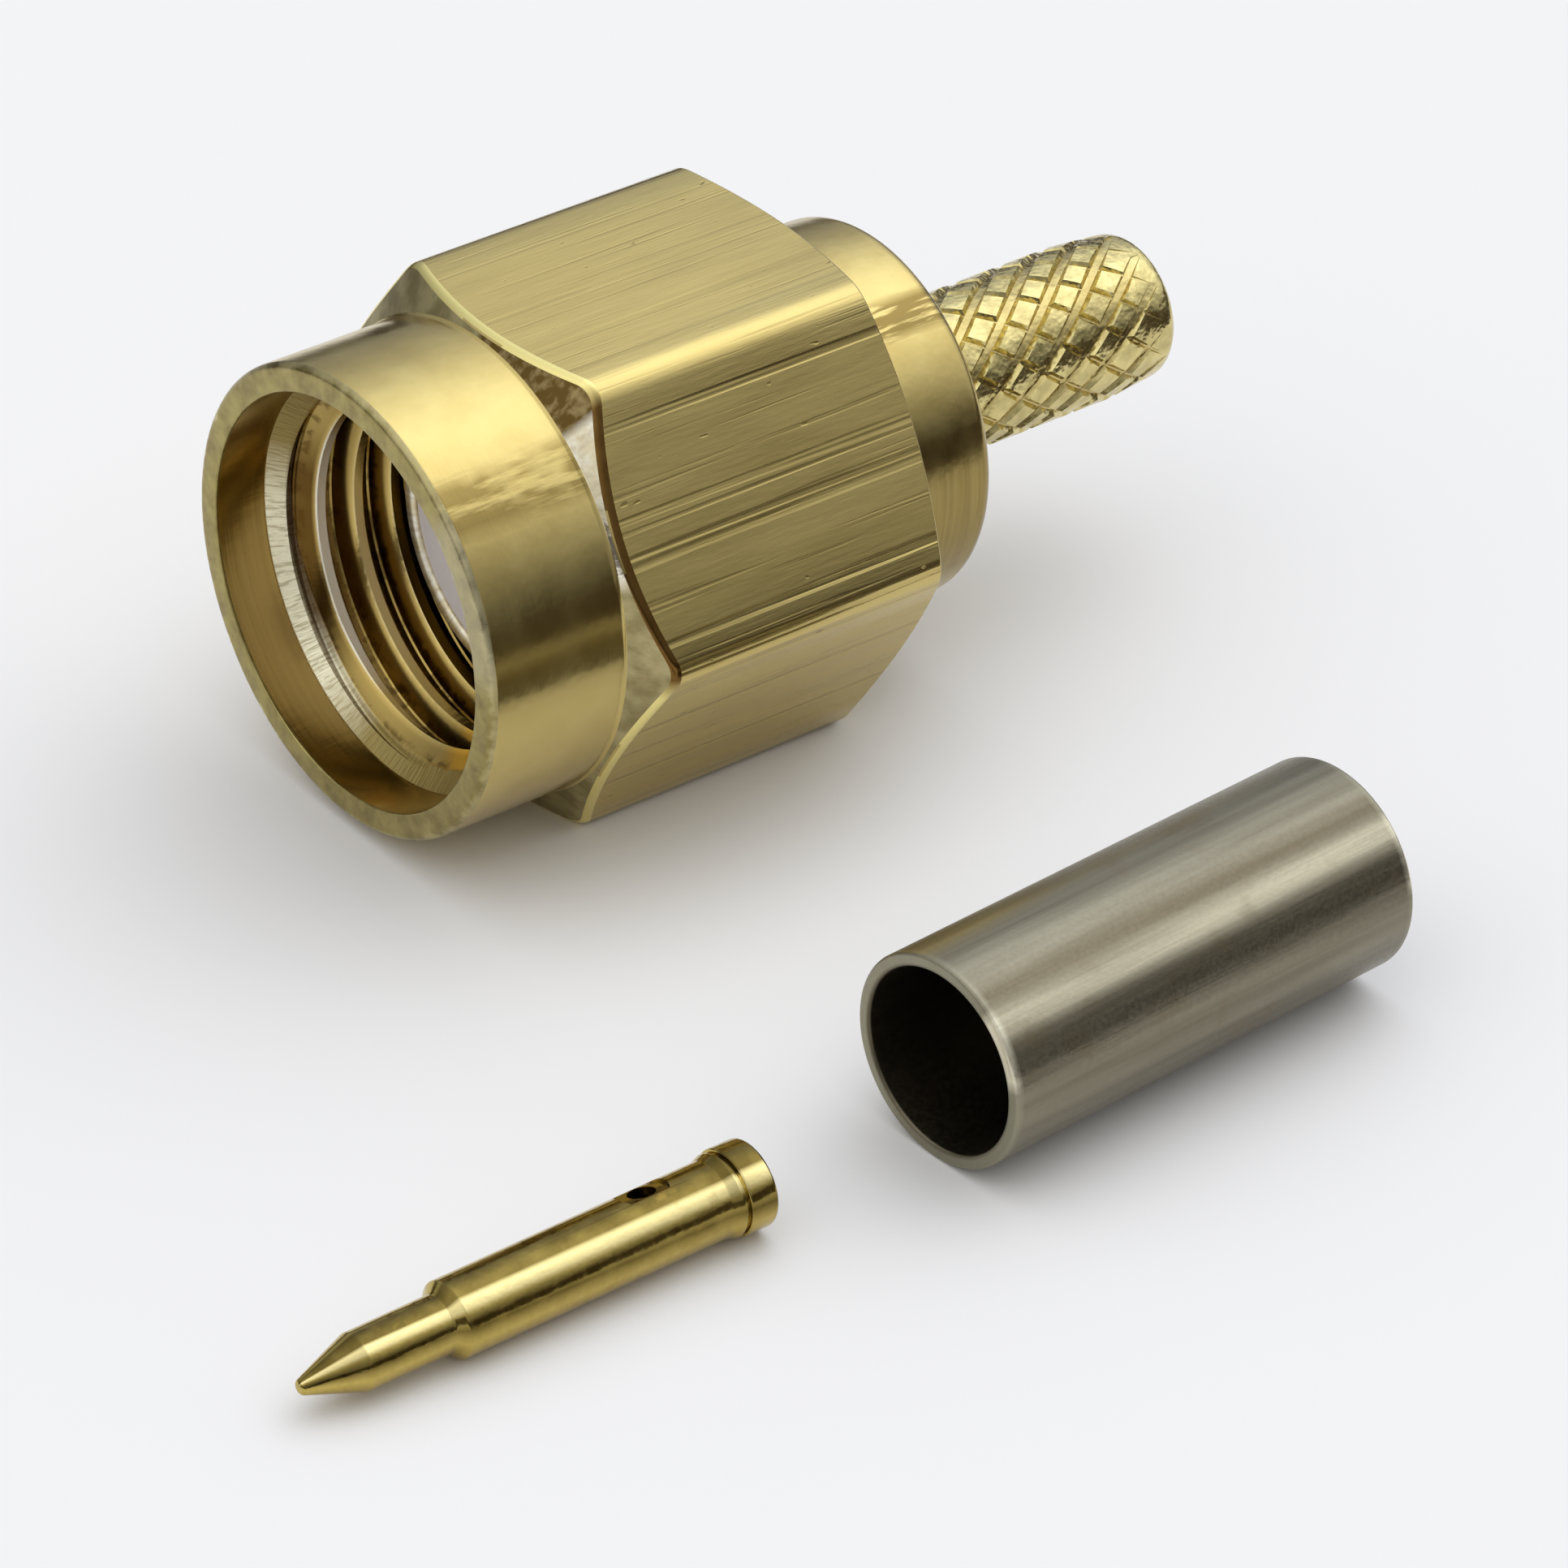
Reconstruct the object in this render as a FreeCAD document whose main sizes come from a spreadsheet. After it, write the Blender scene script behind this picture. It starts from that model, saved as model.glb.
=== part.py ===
import FreeCAD, Part
import math
import os
import re
import Sketcher

# SMA plug for crimped cable: the plug with its coupling nut, and its two loose pieces, the
# crimp ferrule and the centre contact, laid out on one surface.
# The connector's axis runs along X. The nose points to -X and the crimp stem to +X, and X is 0
# above the flat that the nut lies on, at nose_reach behind the nose's front face.
# Z is 0 on the surface that the nut lies on, with one flat of its hexagon down.

Vector = FreeCAD.Vector
ORIGIN = Vector(0, 0, 0)
FULL_TURN = 360

doc = FreeCAD.newDocument("sma_plug")

# Driving dimensions in millimetres, angles in degrees
SIZES = [
    ("across_flats", 8.0, "coupling nut, hexagon across its flats"),
    ("hex_corner_round", 0.5, "rounded corners of the hexagonal bar"),
    ("hex_length", 5.69, "hexagon, from the front chamfer's root to the rear face"),
    ("nose_length", 2.6, "round nose in front of the hexagon"),
    ("nose_wall", 0.46, "wall of the nose at its mouth"),
    ("nose_root_round", 0.18, "hollow rounding where the nose meets the hexagon"),
    ("lip_chamfer", 0.08, "broken outer edge of the nose's lip"),
    ("front_chamfer", 21.0, "angle of the hexagon's front chamfer from its end plane"),
    ("rear_chamfer", 22.0, "angle of the hexagon's rear chamfer from its end plane"),
    ("rear_face_step", 0.03, "how much wider than its flats the nut's rear face is, on the radius"),
    ("thread_major", 6.35, "coupling thread, major diameter"),
    ("thread_minor", 5.64, "coupling thread, minor diameter, here as a plain wall"),
    ("thread_run", 1.3, "threaded wall, as far as it shows in front of the sleeve"),
    ("mouth_clearance", 0.2, "mouth of the nose, radial room outside the thread's major diameter"),
    ("mouth_depth", 0.93, "depth of the mouth"),
    ("lead_in_length", 0.52, "cone from the mouth down to the thread"),
    ("relief_clearance", 0.08, "relief behind the thread, radial room outside its major diameter"),
    ("nose_reach", 4.2, "nose's front face to X 0"),
    ("reference_depth", 2.8, "nose's front face to the mating reference plane, the sleeve's front face"),
    ("web_length", 1.75, "nut's rear web, which bears on the body"),
    ("running_clearance", 0.06, "radial room between the nut's web and the body's barrel"),
    ("collar_gap", 0.04, "axial room between the nut's rear face and the collar"),
    ("sleeve_diameter", 4.6, "outer conductor sleeve"),
    ("sleeve_wall", 0.26, "wall of the sleeve"),
    ("sleeve_length", 3.9, "sleeve in front of the barrel"),
    ("barrel_diameter", 5.3, "barrel that the nut turns on"),
    ("collar_diameter", 6.26, "collar behind the nut"),
    ("collar_length", 1.92, "collar along the axis"),
    ("collar_round", 0.25, "rounded rear edge of the collar"),
    ("neck_diameter", 2.32, "plain neck of the crimp stem, and its core under the knurl"),
    ("neck_length", 0.6, "neck from the collar to the knurl"),
    ("stem_diameter", 2.62, "crimp stem over its knurl"),
    ("knurl_length", 4.2, "knurled stretch of the stem"),
    ("stem_end_length", 0.6, "plain end of the stem"),
    ("stem_end_drop", 0.09, "how much slimmer the plain end gets, on the radius"),
    ("stem_end_round", 0.3, "rounded end of the stem"),
    ("stem_bore", 1.6, "bore of the stem, for the cable's dielectric"),
    ("bore_mouth", 0.12, "chamfer at the mouth of the stem's bore"),
    ("knurl_starts", 12, "grooves of each hand"),
    ("knurl_angle", 38.0, "angle of the knurl's grooves from the axis"),
    ("knurl_depth", 0.09, "depth of the knurl's grooves"),
    ("knurl_width", 0.15, "width of a knurl groove at the surface"),
    ("dielectric_length", 4.82, "insulator along the axis"),
    ("dielectric_recess", 0.05, "insulator's front face behind the sleeve's"),
    ("dielectric_clearance", 0.01, "radial room round the insulator"),
    ("contact_clearance", 0.02, "radial room for the contact in the insulator"),
    ("ring_width", 0.5, "retaining ring along the axis"),
    ("ring_height", 0.55, "retaining ring, from its inside to its outside radius"),
    ("ring_seat_depth", 0.32, "depth of the ring's groove in the barrel"),
    ("ring_clearance", 0.06, "room round the ring in the nut's groove"),
    ("ring_side_play", 0.03, "axial room on each side of the ring in the barrel's groove"),
    ("ring_setback", 0.7, "nut's rear face to the rear of the ring"),
    ("ring_opening", 42.0, "angle of the opening in the split ring"),
    ("pin_diameter", 0.905, "contact's pin"),
    ("pin_length", 2.43, "contact's pin from its tip to the shoulder"),
    ("tip_cone_length", 0.98, "cone of the pin's tip"),
    ("tip_diameter", 0.22, "flat end of the cone, before it is rounded"),
    ("tip_round", 0.08, "rounded end of the tip"),
    ("shoulder_chamfer", 0.14, "chamfer of the contact's shoulder, along the axis"),
    ("solder_barrel", 1.21, "contact's solder barrel, diameter"),
    ("flare_length", 0.15, "cone behind the solder barrel, which seats on the insulator"),
    ("flare_diameter", 1.32, "rear of that cone"),
    ("flare_rim", 0.05, "plain rim behind the cone"),
    ("neck_groove_width", 0.06, "groove in front of the head"),
    ("neck_groove_depth", 0.04, "depth of that groove, from the rim"),
    ("head_diameter", 1.38, "contact's head"),
    ("head_length", 0.49, "contact's head along the axis"),
    ("head_chamfer", 0.04, "broken edges of the head"),
    ("wire_bore", 0.56, "bore for the cable's inner conductor"),
    ("wire_bore_depth", 3.1, "depth of that bore"),
    ("solder_hole", 0.44, "side hole of the solder barrel"),
    ("solder_hole_setback", 1.85, "middle of the side hole to the contact's rear face"),
    ("spot_face", 0.84, "flat round the side hole, diameter"),
    ("spot_face_depth", 0.05, "depth of that flat"),
    ("braid_room", 0.17, "radial room for the cable's braid between stem and ferrule"),
    ("ferrule_wall", 0.23, "wall of the crimp ferrule"),
    ("ferrule_length", 8.15, "crimp ferrule along its axis"),
    ("ferrule_chamfer", 0.05, "broken edges of the ferrule"),
    ("ferrule_x", -2.17, "middle of the ferrule's front end"),
    ("ferrule_y", -12.04, "middle of the ferrule's front end"),
    ("ferrule_turn", 3.8, "ferrule's turn about the vertical"),
    ("contact_x", -10.74, "contact's shoulder"),
    ("contact_y", -11.71, "contact's shoulder"),
    ("contact_turn", 0.0, "contact's turn about the vertical"),
    ("contact_roll", -20.0, "contact's roll about its own axis, which turns its side hole from the top"),
]

sheet = doc.addObject("Spreadsheet::Sheet", "sizes")
for row, (name, value, note) in enumerate(SIZES, start=1):
    sheet.set(f"A{row}", name)
    sheet.set(f"B{row}", str(value))
    sheet.set(f"C{row}", note)
    sheet.setAlias(f"B{row}", name)
doc.recompute()

SIZE_NAMES = {name for name, value, note in SIZES}

# Lengths that follow from the driving dimensions, as formulas
NOSE_RADIUS = "(thread_major / 2 + mouth_clearance + nose_wall)"
MOUTH_RADIUS = "(thread_major / 2 + mouth_clearance)"
THREAD_START = "(mouth_depth + lead_in_length)"
RELIEF_RADIUS = "(thread_major / 2 + relief_clearance)"
NUT_LENGTH = "(nose_length + hex_length)"
BAR_RADIUS = "(across_flats / 2 / cos(30) + hex_corner_round)"
WEB_BORE = "(barrel_diameter / 2 + running_clearance)"
AXIS_HEIGHT = "(across_flats / 2)"
RING_REAR = "(nose_length + hex_length - nose_reach - ring_setback)"
RING_INSIDE = "(barrel_diameter / 2 - ring_seat_depth)"
COLLAR_FRONT = "(nose_length + hex_length - nose_reach + collar_gap)"
COLLAR_REAR = f"({COLLAR_FRONT} + collar_length)"
KNURL_FRONT = f"({COLLAR_REAR} + neck_length)"
KNURL_REAR = f"({KNURL_FRONT} + knurl_length)"
STEM_END = f"({KNURL_REAR} + stem_end_length)"
REFERENCE_PLANE = "(reference_depth - nose_reach)"
INSULATOR_FRONT = f"({REFERENCE_PLANE} + dielectric_recess)"
INSULATOR_SEAT = f"({INSULATOR_FRONT} + dielectric_length)"
STEM_END_RADIUS = "(stem_diameter / 2 - stem_end_drop)"
CAVITY_RADIUS = "(sleeve_diameter / 2 - sleeve_wall)"
KNURL_LEAD = "(pi * stem_diameter / tan(knurl_angle))"
BARREL_FRONT = "(pin_length + shoulder_chamfer)"
FLARE_FRONT = "(pin_length + dielectric_length)"
GROOVE_FRONT = f"({FLARE_FRONT} + flare_length + flare_rim)"
HEAD_FRONT = f"({GROOVE_FRONT} + neck_groove_width)"
CONTACT_LENGTH = f"({HEAD_FRONT} + head_length)"
RESTING_SPAN = f"({HEAD_FRONT} + head_chamfer - {BARREL_FRONT})"
CONTACT_TILT = f"atan((head_diameter - solder_barrel) / 2 / {RESTING_SPAN})"
FERRULE_BORE_RADIUS = "(stem_diameter / 2 + braid_room)"
FERRULE_RADIUS = f"({FERRULE_BORE_RADIUS} + ferrule_wall)"


def from_sheet(formula):
    """Points each size named in a formula at its cell in the sheet."""
    def cell(word):
        return f"sizes.{word[0]}" if word[0] in SIZE_NAMES else word[0]

    return re.sub(r"[a-z_]+", cell, formula)


def value_of(formula):
    """The formula's value now, in millimetres or degrees."""
    result = sheet.evalExpression(from_sheet(formula))
    return float(getattr(result, "Value", result))


def bind(feature, target, formula):
    feature.setExpression(target, from_sheet(formula))


def origin_item(body, role):
    """A plane or an axis of a body's own origin."""
    return next(item for item in body.Origin.OriginFeatures if item.Role == role)


def sketch_on(body, role, label):
    sketch = body.newObject("Sketcher::SketchObject", label)
    sketch.AttachmentSupport = [(origin_item(body, role), "")]
    sketch.MapMode = "FlatFace"
    return sketch


def pin_point(sketch, edge, end, across, up):
    """Holds one sketch point at two formulas, measured from the sketch's origin."""
    for kind, formula in (("DistanceX", across), ("DistanceY", up)):
        index = sketch.addConstraint(Sketcher.Constraint(kind, -1, 1, edge, end, value_of(formula)))
        bind(sketch, f"Constraints[{index}]", formula)


def outline_sketch(body, role, label, corners):
    """A closed outline of straight edges whose corners are given as pairs of formulas."""
    sketch = sketch_on(body, role, label)
    points = [Vector(value_of(across), value_of(up), 0) for across, up in corners]
    for start, end in zip(points, points[1:] + points[:1]):
        sketch.addGeometry(Part.LineSegment(start, end), False)
    for edge in range(len(points)):
        sketch.addConstraint(Sketcher.Constraint("Coincident", edge, 2, (edge + 1) % len(points), 1))
    for edge, (across, up) in enumerate(corners):
        pin_point(sketch, edge, 1, across, up)
    return sketch


def turned_body(label, corners, opening="0"):
    """A piece turned about its own X axis from an outline of axial and radial formulas."""
    body = doc.addObject("PartDesign::Body", label)
    sketch = outline_sketch(body, "XZ_Plane", label + "_outline", corners)
    turning = body.newObject("PartDesign::Revolution", label + "_turning")
    turning.Profile = sketch
    turning.ReferenceAxis = (sketch, ["H_Axis"])
    bind(turning, "Angle", f"{FULL_TURN} - {opening}")
    doc.recompute()
    return body


def round_edges(body, label, radius, places):
    """Rounds the circular edges that lie at the given axial and radial formulas."""
    base = body.Tip
    wanted = [(value_of(across), value_of(up)) for across, up in places]
    names = []
    for number, edge in enumerate(base.Shape.Edges, start=1):
        if not isinstance(edge.Curve, Part.Circle):
            continue
        centre = base.Placement.inverse().multVec(edge.Curve.Center)
        for across, up in wanted:
            if abs(centre.x - across) < 1e-4 and abs(edge.Curve.Radius - up) < 1e-4:
                names.append(f"Edge{number}")
    fillet = body.newObject("PartDesign::Fillet", label)
    fillet.Base = (base, names)
    bind(fillet, "Radius", radius)
    doc.recompute()
    return fillet


def lay_on_axis(feature, along):
    """Puts a piece on the connector's axis at an axial formula."""
    bind(feature, "Placement.Base.x", along)
    bind(feature, "Placement.Base.z", AXIS_HEIGHT)


def joined(kind, label, first, second):
    """A boolean of two shapes: Part::Common, Part::Cut or Part::Fuse."""
    result = doc.addObject(kind, label)
    result.Base = first
    result.Tool = second
    return result


# Coupling nut: everything that the lathe cuts, as one turned profile
def nut_profile():
    groove_front = f"({RING_REAR} - ring_width - ring_clearance + nose_reach)"
    groove_rear = f"({RING_REAR} + ring_clearance + nose_reach)"
    groove_radius = f"({RING_INSIDE} + ring_height + ring_clearance)"
    rear_face_radius = "(across_flats / 2 + rear_face_step)"
    thread_end = f"({THREAD_START} + thread_run)"
    return [
        ("0", MOUTH_RADIUS),
        ("0", f"{NOSE_RADIUS} - lip_chamfer"),
        ("lip_chamfer", NOSE_RADIUS),
        ("nose_length", NOSE_RADIUS),
        (f"nose_length + ({BAR_RADIUS} - {NOSE_RADIUS}) * tan(front_chamfer)", BAR_RADIUS),
        (f"{NUT_LENGTH} - ({BAR_RADIUS} - {rear_face_radius}) * tan(rear_chamfer)", BAR_RADIUS),
        (NUT_LENGTH, rear_face_radius),
        (NUT_LENGTH, WEB_BORE),
        (groove_rear, WEB_BORE),
        (groove_rear, groove_radius),
        (groove_front, groove_radius),
        (groove_front, WEB_BORE),
        (f"{NUT_LENGTH} - web_length", WEB_BORE),
        (f"{NUT_LENGTH} - web_length", RELIEF_RADIUS),
        (thread_end, RELIEF_RADIUS),
        (thread_end, "thread_minor / 2"),
        (THREAD_START, "thread_minor / 2"),
        ("mouth_depth", MOUTH_RADIUS),
    ]


def hexagonal_bar():
    """The drawn bar that the nut is turned from: a hexagon with rounded corners."""
    body = doc.addObject("PartDesign::Body", "hexagonal_bar")
    sketch = sketch_on(body, "YZ_Plane", "hexagonal_bar_section")
    corner_radius = "across_flats / 2 / cos(30)"
    radius = value_of(corner_radius)
    corners = [Vector(radius, 0, 0)]
    for number in range(1, 6):
        angle = math.radians(60 * number)
        corners.append(Vector(radius * math.cos(angle), radius * math.sin(angle), 0))
    for start, end in zip(corners, corners[1:] + corners[:1]):
        sketch.addGeometry(Part.LineSegment(start, end), False)
    circle = sketch.addGeometry(Part.Circle(ORIGIN, Vector(0, 0, 1), radius), True)
    sketch.addConstraint(Sketcher.Constraint("Coincident", circle, 3, -1, 1))
    index = sketch.addConstraint(Sketcher.Constraint("Radius", circle, radius))
    bind(sketch, f"Constraints[{index}]", corner_radius)
    for side in range(6):
        sketch.addConstraint(Sketcher.Constraint("Coincident", side, 2, (side + 1) % 6, 1))
        sketch.addConstraint(Sketcher.Constraint("PointOnObject", side, 1, circle))
    for side in range(1, 6):
        sketch.addConstraint(Sketcher.Constraint("Equal", 0, side))
    sketch.addConstraint(Sketcher.Constraint("Horizontal", 1))
    bar = body.newObject("PartDesign::Pad", "hexagonal_bar_length")
    bar.Profile = sketch
    bind(bar, "Length", NUT_LENGTH)
    doc.recompute()
    length = value_of(NUT_LENGTH)
    long_edges = [
        f"Edge{number}"
        for number, edge in enumerate(bar.Shape.Edges, start=1)
        if abs(edge.BoundBox.XLength - length) < 1e-4
    ]
    corner_rounding = body.newObject("PartDesign::Fillet", "hexagonal_bar_corners")
    corner_rounding.Base = (bar, long_edges)
    bind(corner_rounding, "Radius", "hex_corner_round")
    doc.recompute()
    return body


nut_turning = turned_body("nut_turning", nut_profile())
round_edges(nut_turning, "nut_nose_root", "nose_root_round", [("nose_length", NOSE_RADIUS)])
hex_bar = hexagonal_bar()
for piece in (nut_turning, hex_bar):
    lay_on_axis(piece, "-nose_reach")
coupling_nut = joined("Part::Common", "coupling_nut", hex_bar, nut_turning)


# Connector body: sleeve, barrel with the ring's groove, collar and stem
body_turning = turned_body("body_turning", [
    (REFERENCE_PLANE, "0"),
    (REFERENCE_PLANE, "sleeve_diameter / 2"),
    (f"{REFERENCE_PLANE} + sleeve_length", "sleeve_diameter / 2"),
    (f"{REFERENCE_PLANE} + sleeve_length", "barrel_diameter / 2"),
    (f"{RING_REAR} - ring_width - ring_side_play", "barrel_diameter / 2"),
    (f"{RING_REAR} - ring_width - ring_side_play", RING_INSIDE),
    (f"{RING_REAR} + ring_side_play", RING_INSIDE),
    (f"{RING_REAR} + ring_side_play", "barrel_diameter / 2"),
    (COLLAR_FRONT, "barrel_diameter / 2"),
    (COLLAR_FRONT, "collar_diameter / 2"),
    (COLLAR_REAR, "collar_diameter / 2"),
    (COLLAR_REAR, "neck_diameter / 2"),
    (KNURL_REAR, "neck_diameter / 2"),
    (KNURL_REAR, "stem_diameter / 2"),
    (STEM_END, STEM_END_RADIUS),
    (STEM_END, "0"),
])
round_edges(body_turning, "collar_rounding", "collar_round", [(COLLAR_REAR, "collar_diameter / 2")])
round_edges(body_turning, "stem_rounding", "stem_end_round", [(STEM_END, STEM_END_RADIUS)])

body_bore = turned_body("body_bore", [
    (REFERENCE_PLANE, "0"),
    (REFERENCE_PLANE, CAVITY_RADIUS),
    (INSULATOR_SEAT, CAVITY_RADIUS),
    (INSULATOR_SEAT, "stem_bore / 2"),
    (f"{STEM_END} - bore_mouth", "stem_bore / 2"),
    (STEM_END, "stem_bore / 2 + bore_mouth"),
    (STEM_END, "0"),
])


def grooved_cylinder(label, left_handed):
    """The knurl's blank with the grooves of one hand: one helical V cut, patterned round."""
    body = doc.addObject("PartDesign::Body", label)
    outline = outline_sketch(body, "XZ_Plane", label + "_outline", [
        ("0", "0"),
        ("0", "stem_diameter / 2"),
        ("knurl_length", "stem_diameter / 2"),
        ("knurl_length", "0"),
    ])
    blank = body.newObject("PartDesign::Revolution", label + "_blank")
    blank.Profile = outline
    blank.ReferenceAxis = (outline, ["H_Axis"])
    doc.recompute()
    # The V starts and ends outside the blank, so that each groove runs out at both ends
    run_out = "(2 * knurl_width)"
    half_width = "(knurl_width / sin(knurl_angle))"
    vee = outline_sketch(body, "XZ_Plane", label + "_vee", [
        (f"-{run_out}", "stem_diameter / 2 - knurl_depth"),
        (f"-{run_out} + {half_width}", "stem_diameter / 2 + knurl_depth"),
        (f"-{run_out} - {half_width}", "stem_diameter / 2 + knurl_depth"),
    ])
    groove = body.newObject("PartDesign::SubtractiveHelix", label + "_groove")
    groove.Profile = vee
    groove.ReferenceAxis = (vee, ["H_Axis"])
    groove.Mode = "pitch-height-angle"
    bind(groove, "Pitch", KNURL_LEAD)
    bind(groove, "Height", f"knurl_length + 2 * {run_out}")
    groove.LeftHanded = left_handed
    groove.Refine = False
    doc.recompute()
    ring = body.newObject("PartDesign::PolarPattern", label + "_grooves")
    ring.Originals = [groove]
    ring.Axis = (origin_item(body, "X_Axis"), [""])
    ring.Angle = FULL_TURN
    bind(ring, "Occurrences", "knurl_starts")
    ring.Refine = False
    body.Tip = ring
    lay_on_axis(body, KNURL_FRONT)
    return body


for piece in (body_turning, body_bore):
    lay_on_axis(piece, "0")
knurl = joined(
    "Part::Common",
    "cross_knurl",
    grooved_cylinder("left_hand_knurl", True),
    grooved_cylinder("right_hand_knurl", False),
)
solid_body = joined("Part::Fuse", "solid_body", body_turning, knurl)
connector_body = joined("Part::Cut", "connector_body", solid_body, body_bore)

# Insulator, seated on the step behind the body's cavity
insulator = turned_body("insulator", [
    ("0", "solder_barrel / 2 + contact_clearance"),
    ("0", f"{CAVITY_RADIUS} - dielectric_clearance"),
    ("dielectric_length", f"{CAVITY_RADIUS} - dielectric_clearance"),
    ("dielectric_length", "solder_barrel / 2 + contact_clearance"),
])
lay_on_axis(insulator, INSULATOR_FRONT)

# Split retaining ring, seated on the floor of the barrel's groove
retaining_ring = turned_body("retaining_ring", [
    ("0", RING_INSIDE),
    ("0", f"{RING_INSIDE} + ring_height"),
    ("ring_width", f"{RING_INSIDE} + ring_height"),
    ("ring_width", RING_INSIDE),
], opening="ring_opening")
lay_on_axis(retaining_ring, f"{RING_REAR} - ring_width")

# Centre contact, drawn from its tip
centre_contact = turned_body("centre_contact", [
    ("0", "0"),
    ("0", "tip_diameter / 2"),
    ("tip_cone_length", "pin_diameter / 2"),
    ("pin_length", "pin_diameter / 2"),
    (BARREL_FRONT, "solder_barrel / 2"),
    (FLARE_FRONT, "solder_barrel / 2"),
    (f"{FLARE_FRONT} + flare_length", "flare_diameter / 2"),
    (GROOVE_FRONT, "flare_diameter / 2"),
    (GROOVE_FRONT, "flare_diameter / 2 - neck_groove_depth"),
    (HEAD_FRONT, "flare_diameter / 2 - neck_groove_depth"),
    (HEAD_FRONT, "head_diameter / 2 - head_chamfer"),
    (f"{HEAD_FRONT} + head_chamfer", "head_diameter / 2"),
    (f"{CONTACT_LENGTH} - head_chamfer", "head_diameter / 2"),
    (CONTACT_LENGTH, "head_diameter / 2 - head_chamfer"),
    (CONTACT_LENGTH, "wire_bore / 2"),
    (f"{CONTACT_LENGTH} - wire_bore_depth", "wire_bore / 2"),
    (f"{CONTACT_LENGTH} - wire_bore_depth - wire_bore / 2 * tan(30)", "0"),
])
round_edges(centre_contact, "tip_rounding", "tip_round", [("0", "tip_diameter / 2")])


def drilled(body, label, diameter, floor):
    """A round pocket that opens to the side of the contact, from a floor at a height off its axis."""
    along = f"{CONTACT_LENGTH} - solder_hole_setback"
    sketch = sketch_on(body, "XY_Plane", label + "_outline")
    sketch.AttachmentOffset = FreeCAD.Placement(Vector(0, 0, value_of(floor)), FreeCAD.Rotation())
    bind(sketch, "AttachmentOffset.Base.z", floor)
    centre = Vector(value_of(along), 0, 0)
    sketch.addGeometry(Part.Circle(centre, Vector(0, 0, 1), value_of(diameter) / 2), False)
    pin_point(sketch, 0, 3, along, "0")
    index = sketch.addConstraint(Sketcher.Constraint("Radius", 0, value_of(diameter) / 2))
    bind(sketch, f"Constraints[{index}]", f"{diameter} / 2")
    volume = body.Tip.Shape.Volume
    cut = body.newObject("PartDesign::Pocket", label)
    cut.Profile = sketch
    cut.Reversed = True
    bind(cut, "Length", "solder_barrel")
    doc.recompute()
    if not cut.Shape.Volume < volume:
        raise RuntimeError(f"{label} cuts nothing")


drilled(centre_contact, "solder_hole_cut", "solder_hole", "0")
drilled(centre_contact, "spot_face_cut", "spot_face", "solder_barrel / 2 - spot_face_depth")

# The contact lies on the front of its barrel and on its wider head, so its tip dips a little
shoulder_drop = f"{BARREL_FRONT} * sin({CONTACT_TILT})"
shoulder_reach = f"{BARREL_FRONT} * cos({CONTACT_TILT})"
bind(centre_contact, "Placement.Base.x", f"contact_x - {shoulder_reach} * cos(contact_turn)")
bind(centre_contact, "Placement.Base.y", f"contact_y - {shoulder_reach} * sin(contact_turn)")
bind(centre_contact, "Placement.Base.z", f"solder_barrel / 2 * cos({CONTACT_TILT}) - {shoulder_drop}")
bind(centre_contact, "Placement.Rotation.Yaw", "contact_turn")
bind(centre_contact, "Placement.Rotation.Pitch", f"-{CONTACT_TILT}")
bind(centre_contact, "Placement.Rotation.Roll", "contact_roll")

# Crimp ferrule, which slides over the knurled stem and the cable's braid
crimp_ferrule = turned_body("crimp_ferrule", [
    ("0", f"{FERRULE_BORE_RADIUS} + ferrule_chamfer"),
    ("0", f"{FERRULE_RADIUS} - ferrule_chamfer"),
    ("ferrule_chamfer", FERRULE_RADIUS),
    ("ferrule_length - ferrule_chamfer", FERRULE_RADIUS),
    ("ferrule_length", f"{FERRULE_RADIUS} - ferrule_chamfer"),
    ("ferrule_length", f"{FERRULE_BORE_RADIUS} + ferrule_chamfer"),
    ("ferrule_length - ferrule_chamfer", FERRULE_BORE_RADIUS),
    ("ferrule_chamfer", FERRULE_BORE_RADIUS),
])
bind(crimp_ferrule, "Placement.Base.x", "ferrule_x")
bind(crimp_ferrule, "Placement.Base.y", "ferrule_y")
bind(crimp_ferrule, "Placement.Base.z", FERRULE_RADIUS)
bind(crimp_ferrule, "Placement.Rotation.Yaw", "ferrule_turn")

doc.recompute()

pieces = [coupling_nut, connector_body, insulator, retaining_ring, centre_contact, crimp_ferrule]

for item in doc.Objects:
    if "Invalid" in item.State or "Error" in item.State:
        raise RuntimeError(f"{item.Label} failed: {item.State}")
for piece in pieces:
    if piece.Shape.isNull() or not piece.Shape.isValid() or len(piece.Shape.Solids) != 1:
        raise RuntimeError(f"{piece.Label} isn't one valid solid")

os.makedirs("parts", exist_ok=True)
for piece in pieces:
    piece.Shape.exportStep(f"parts/{piece.Label}.step")
    box = piece.Shape.BoundBox
    print(piece.Label, round(piece.Shape.Volume, 4), "mm3, X", round(box.XMin, 3), round(box.XMax, 3),
          "Y", round(box.YMin, 3), round(box.YMax, 3), "Z", round(box.ZMin, 3), round(box.ZMax, 3))
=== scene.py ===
import math
import random
import bpy
from mathutils import Matrix, Vector


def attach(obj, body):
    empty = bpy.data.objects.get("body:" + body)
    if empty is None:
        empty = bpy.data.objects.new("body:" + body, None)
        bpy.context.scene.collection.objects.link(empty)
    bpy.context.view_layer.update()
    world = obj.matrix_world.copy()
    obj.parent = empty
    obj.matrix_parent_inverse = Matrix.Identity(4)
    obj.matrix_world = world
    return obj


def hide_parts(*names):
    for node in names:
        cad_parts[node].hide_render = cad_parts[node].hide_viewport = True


# SMA plug for crimped cable, with its loose ferrule and centre contact.
# Sizes here are millimetres, turned into metres where a mesh is made.
# X runs along the plug's axis, from the nose to the crimp stem.

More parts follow.
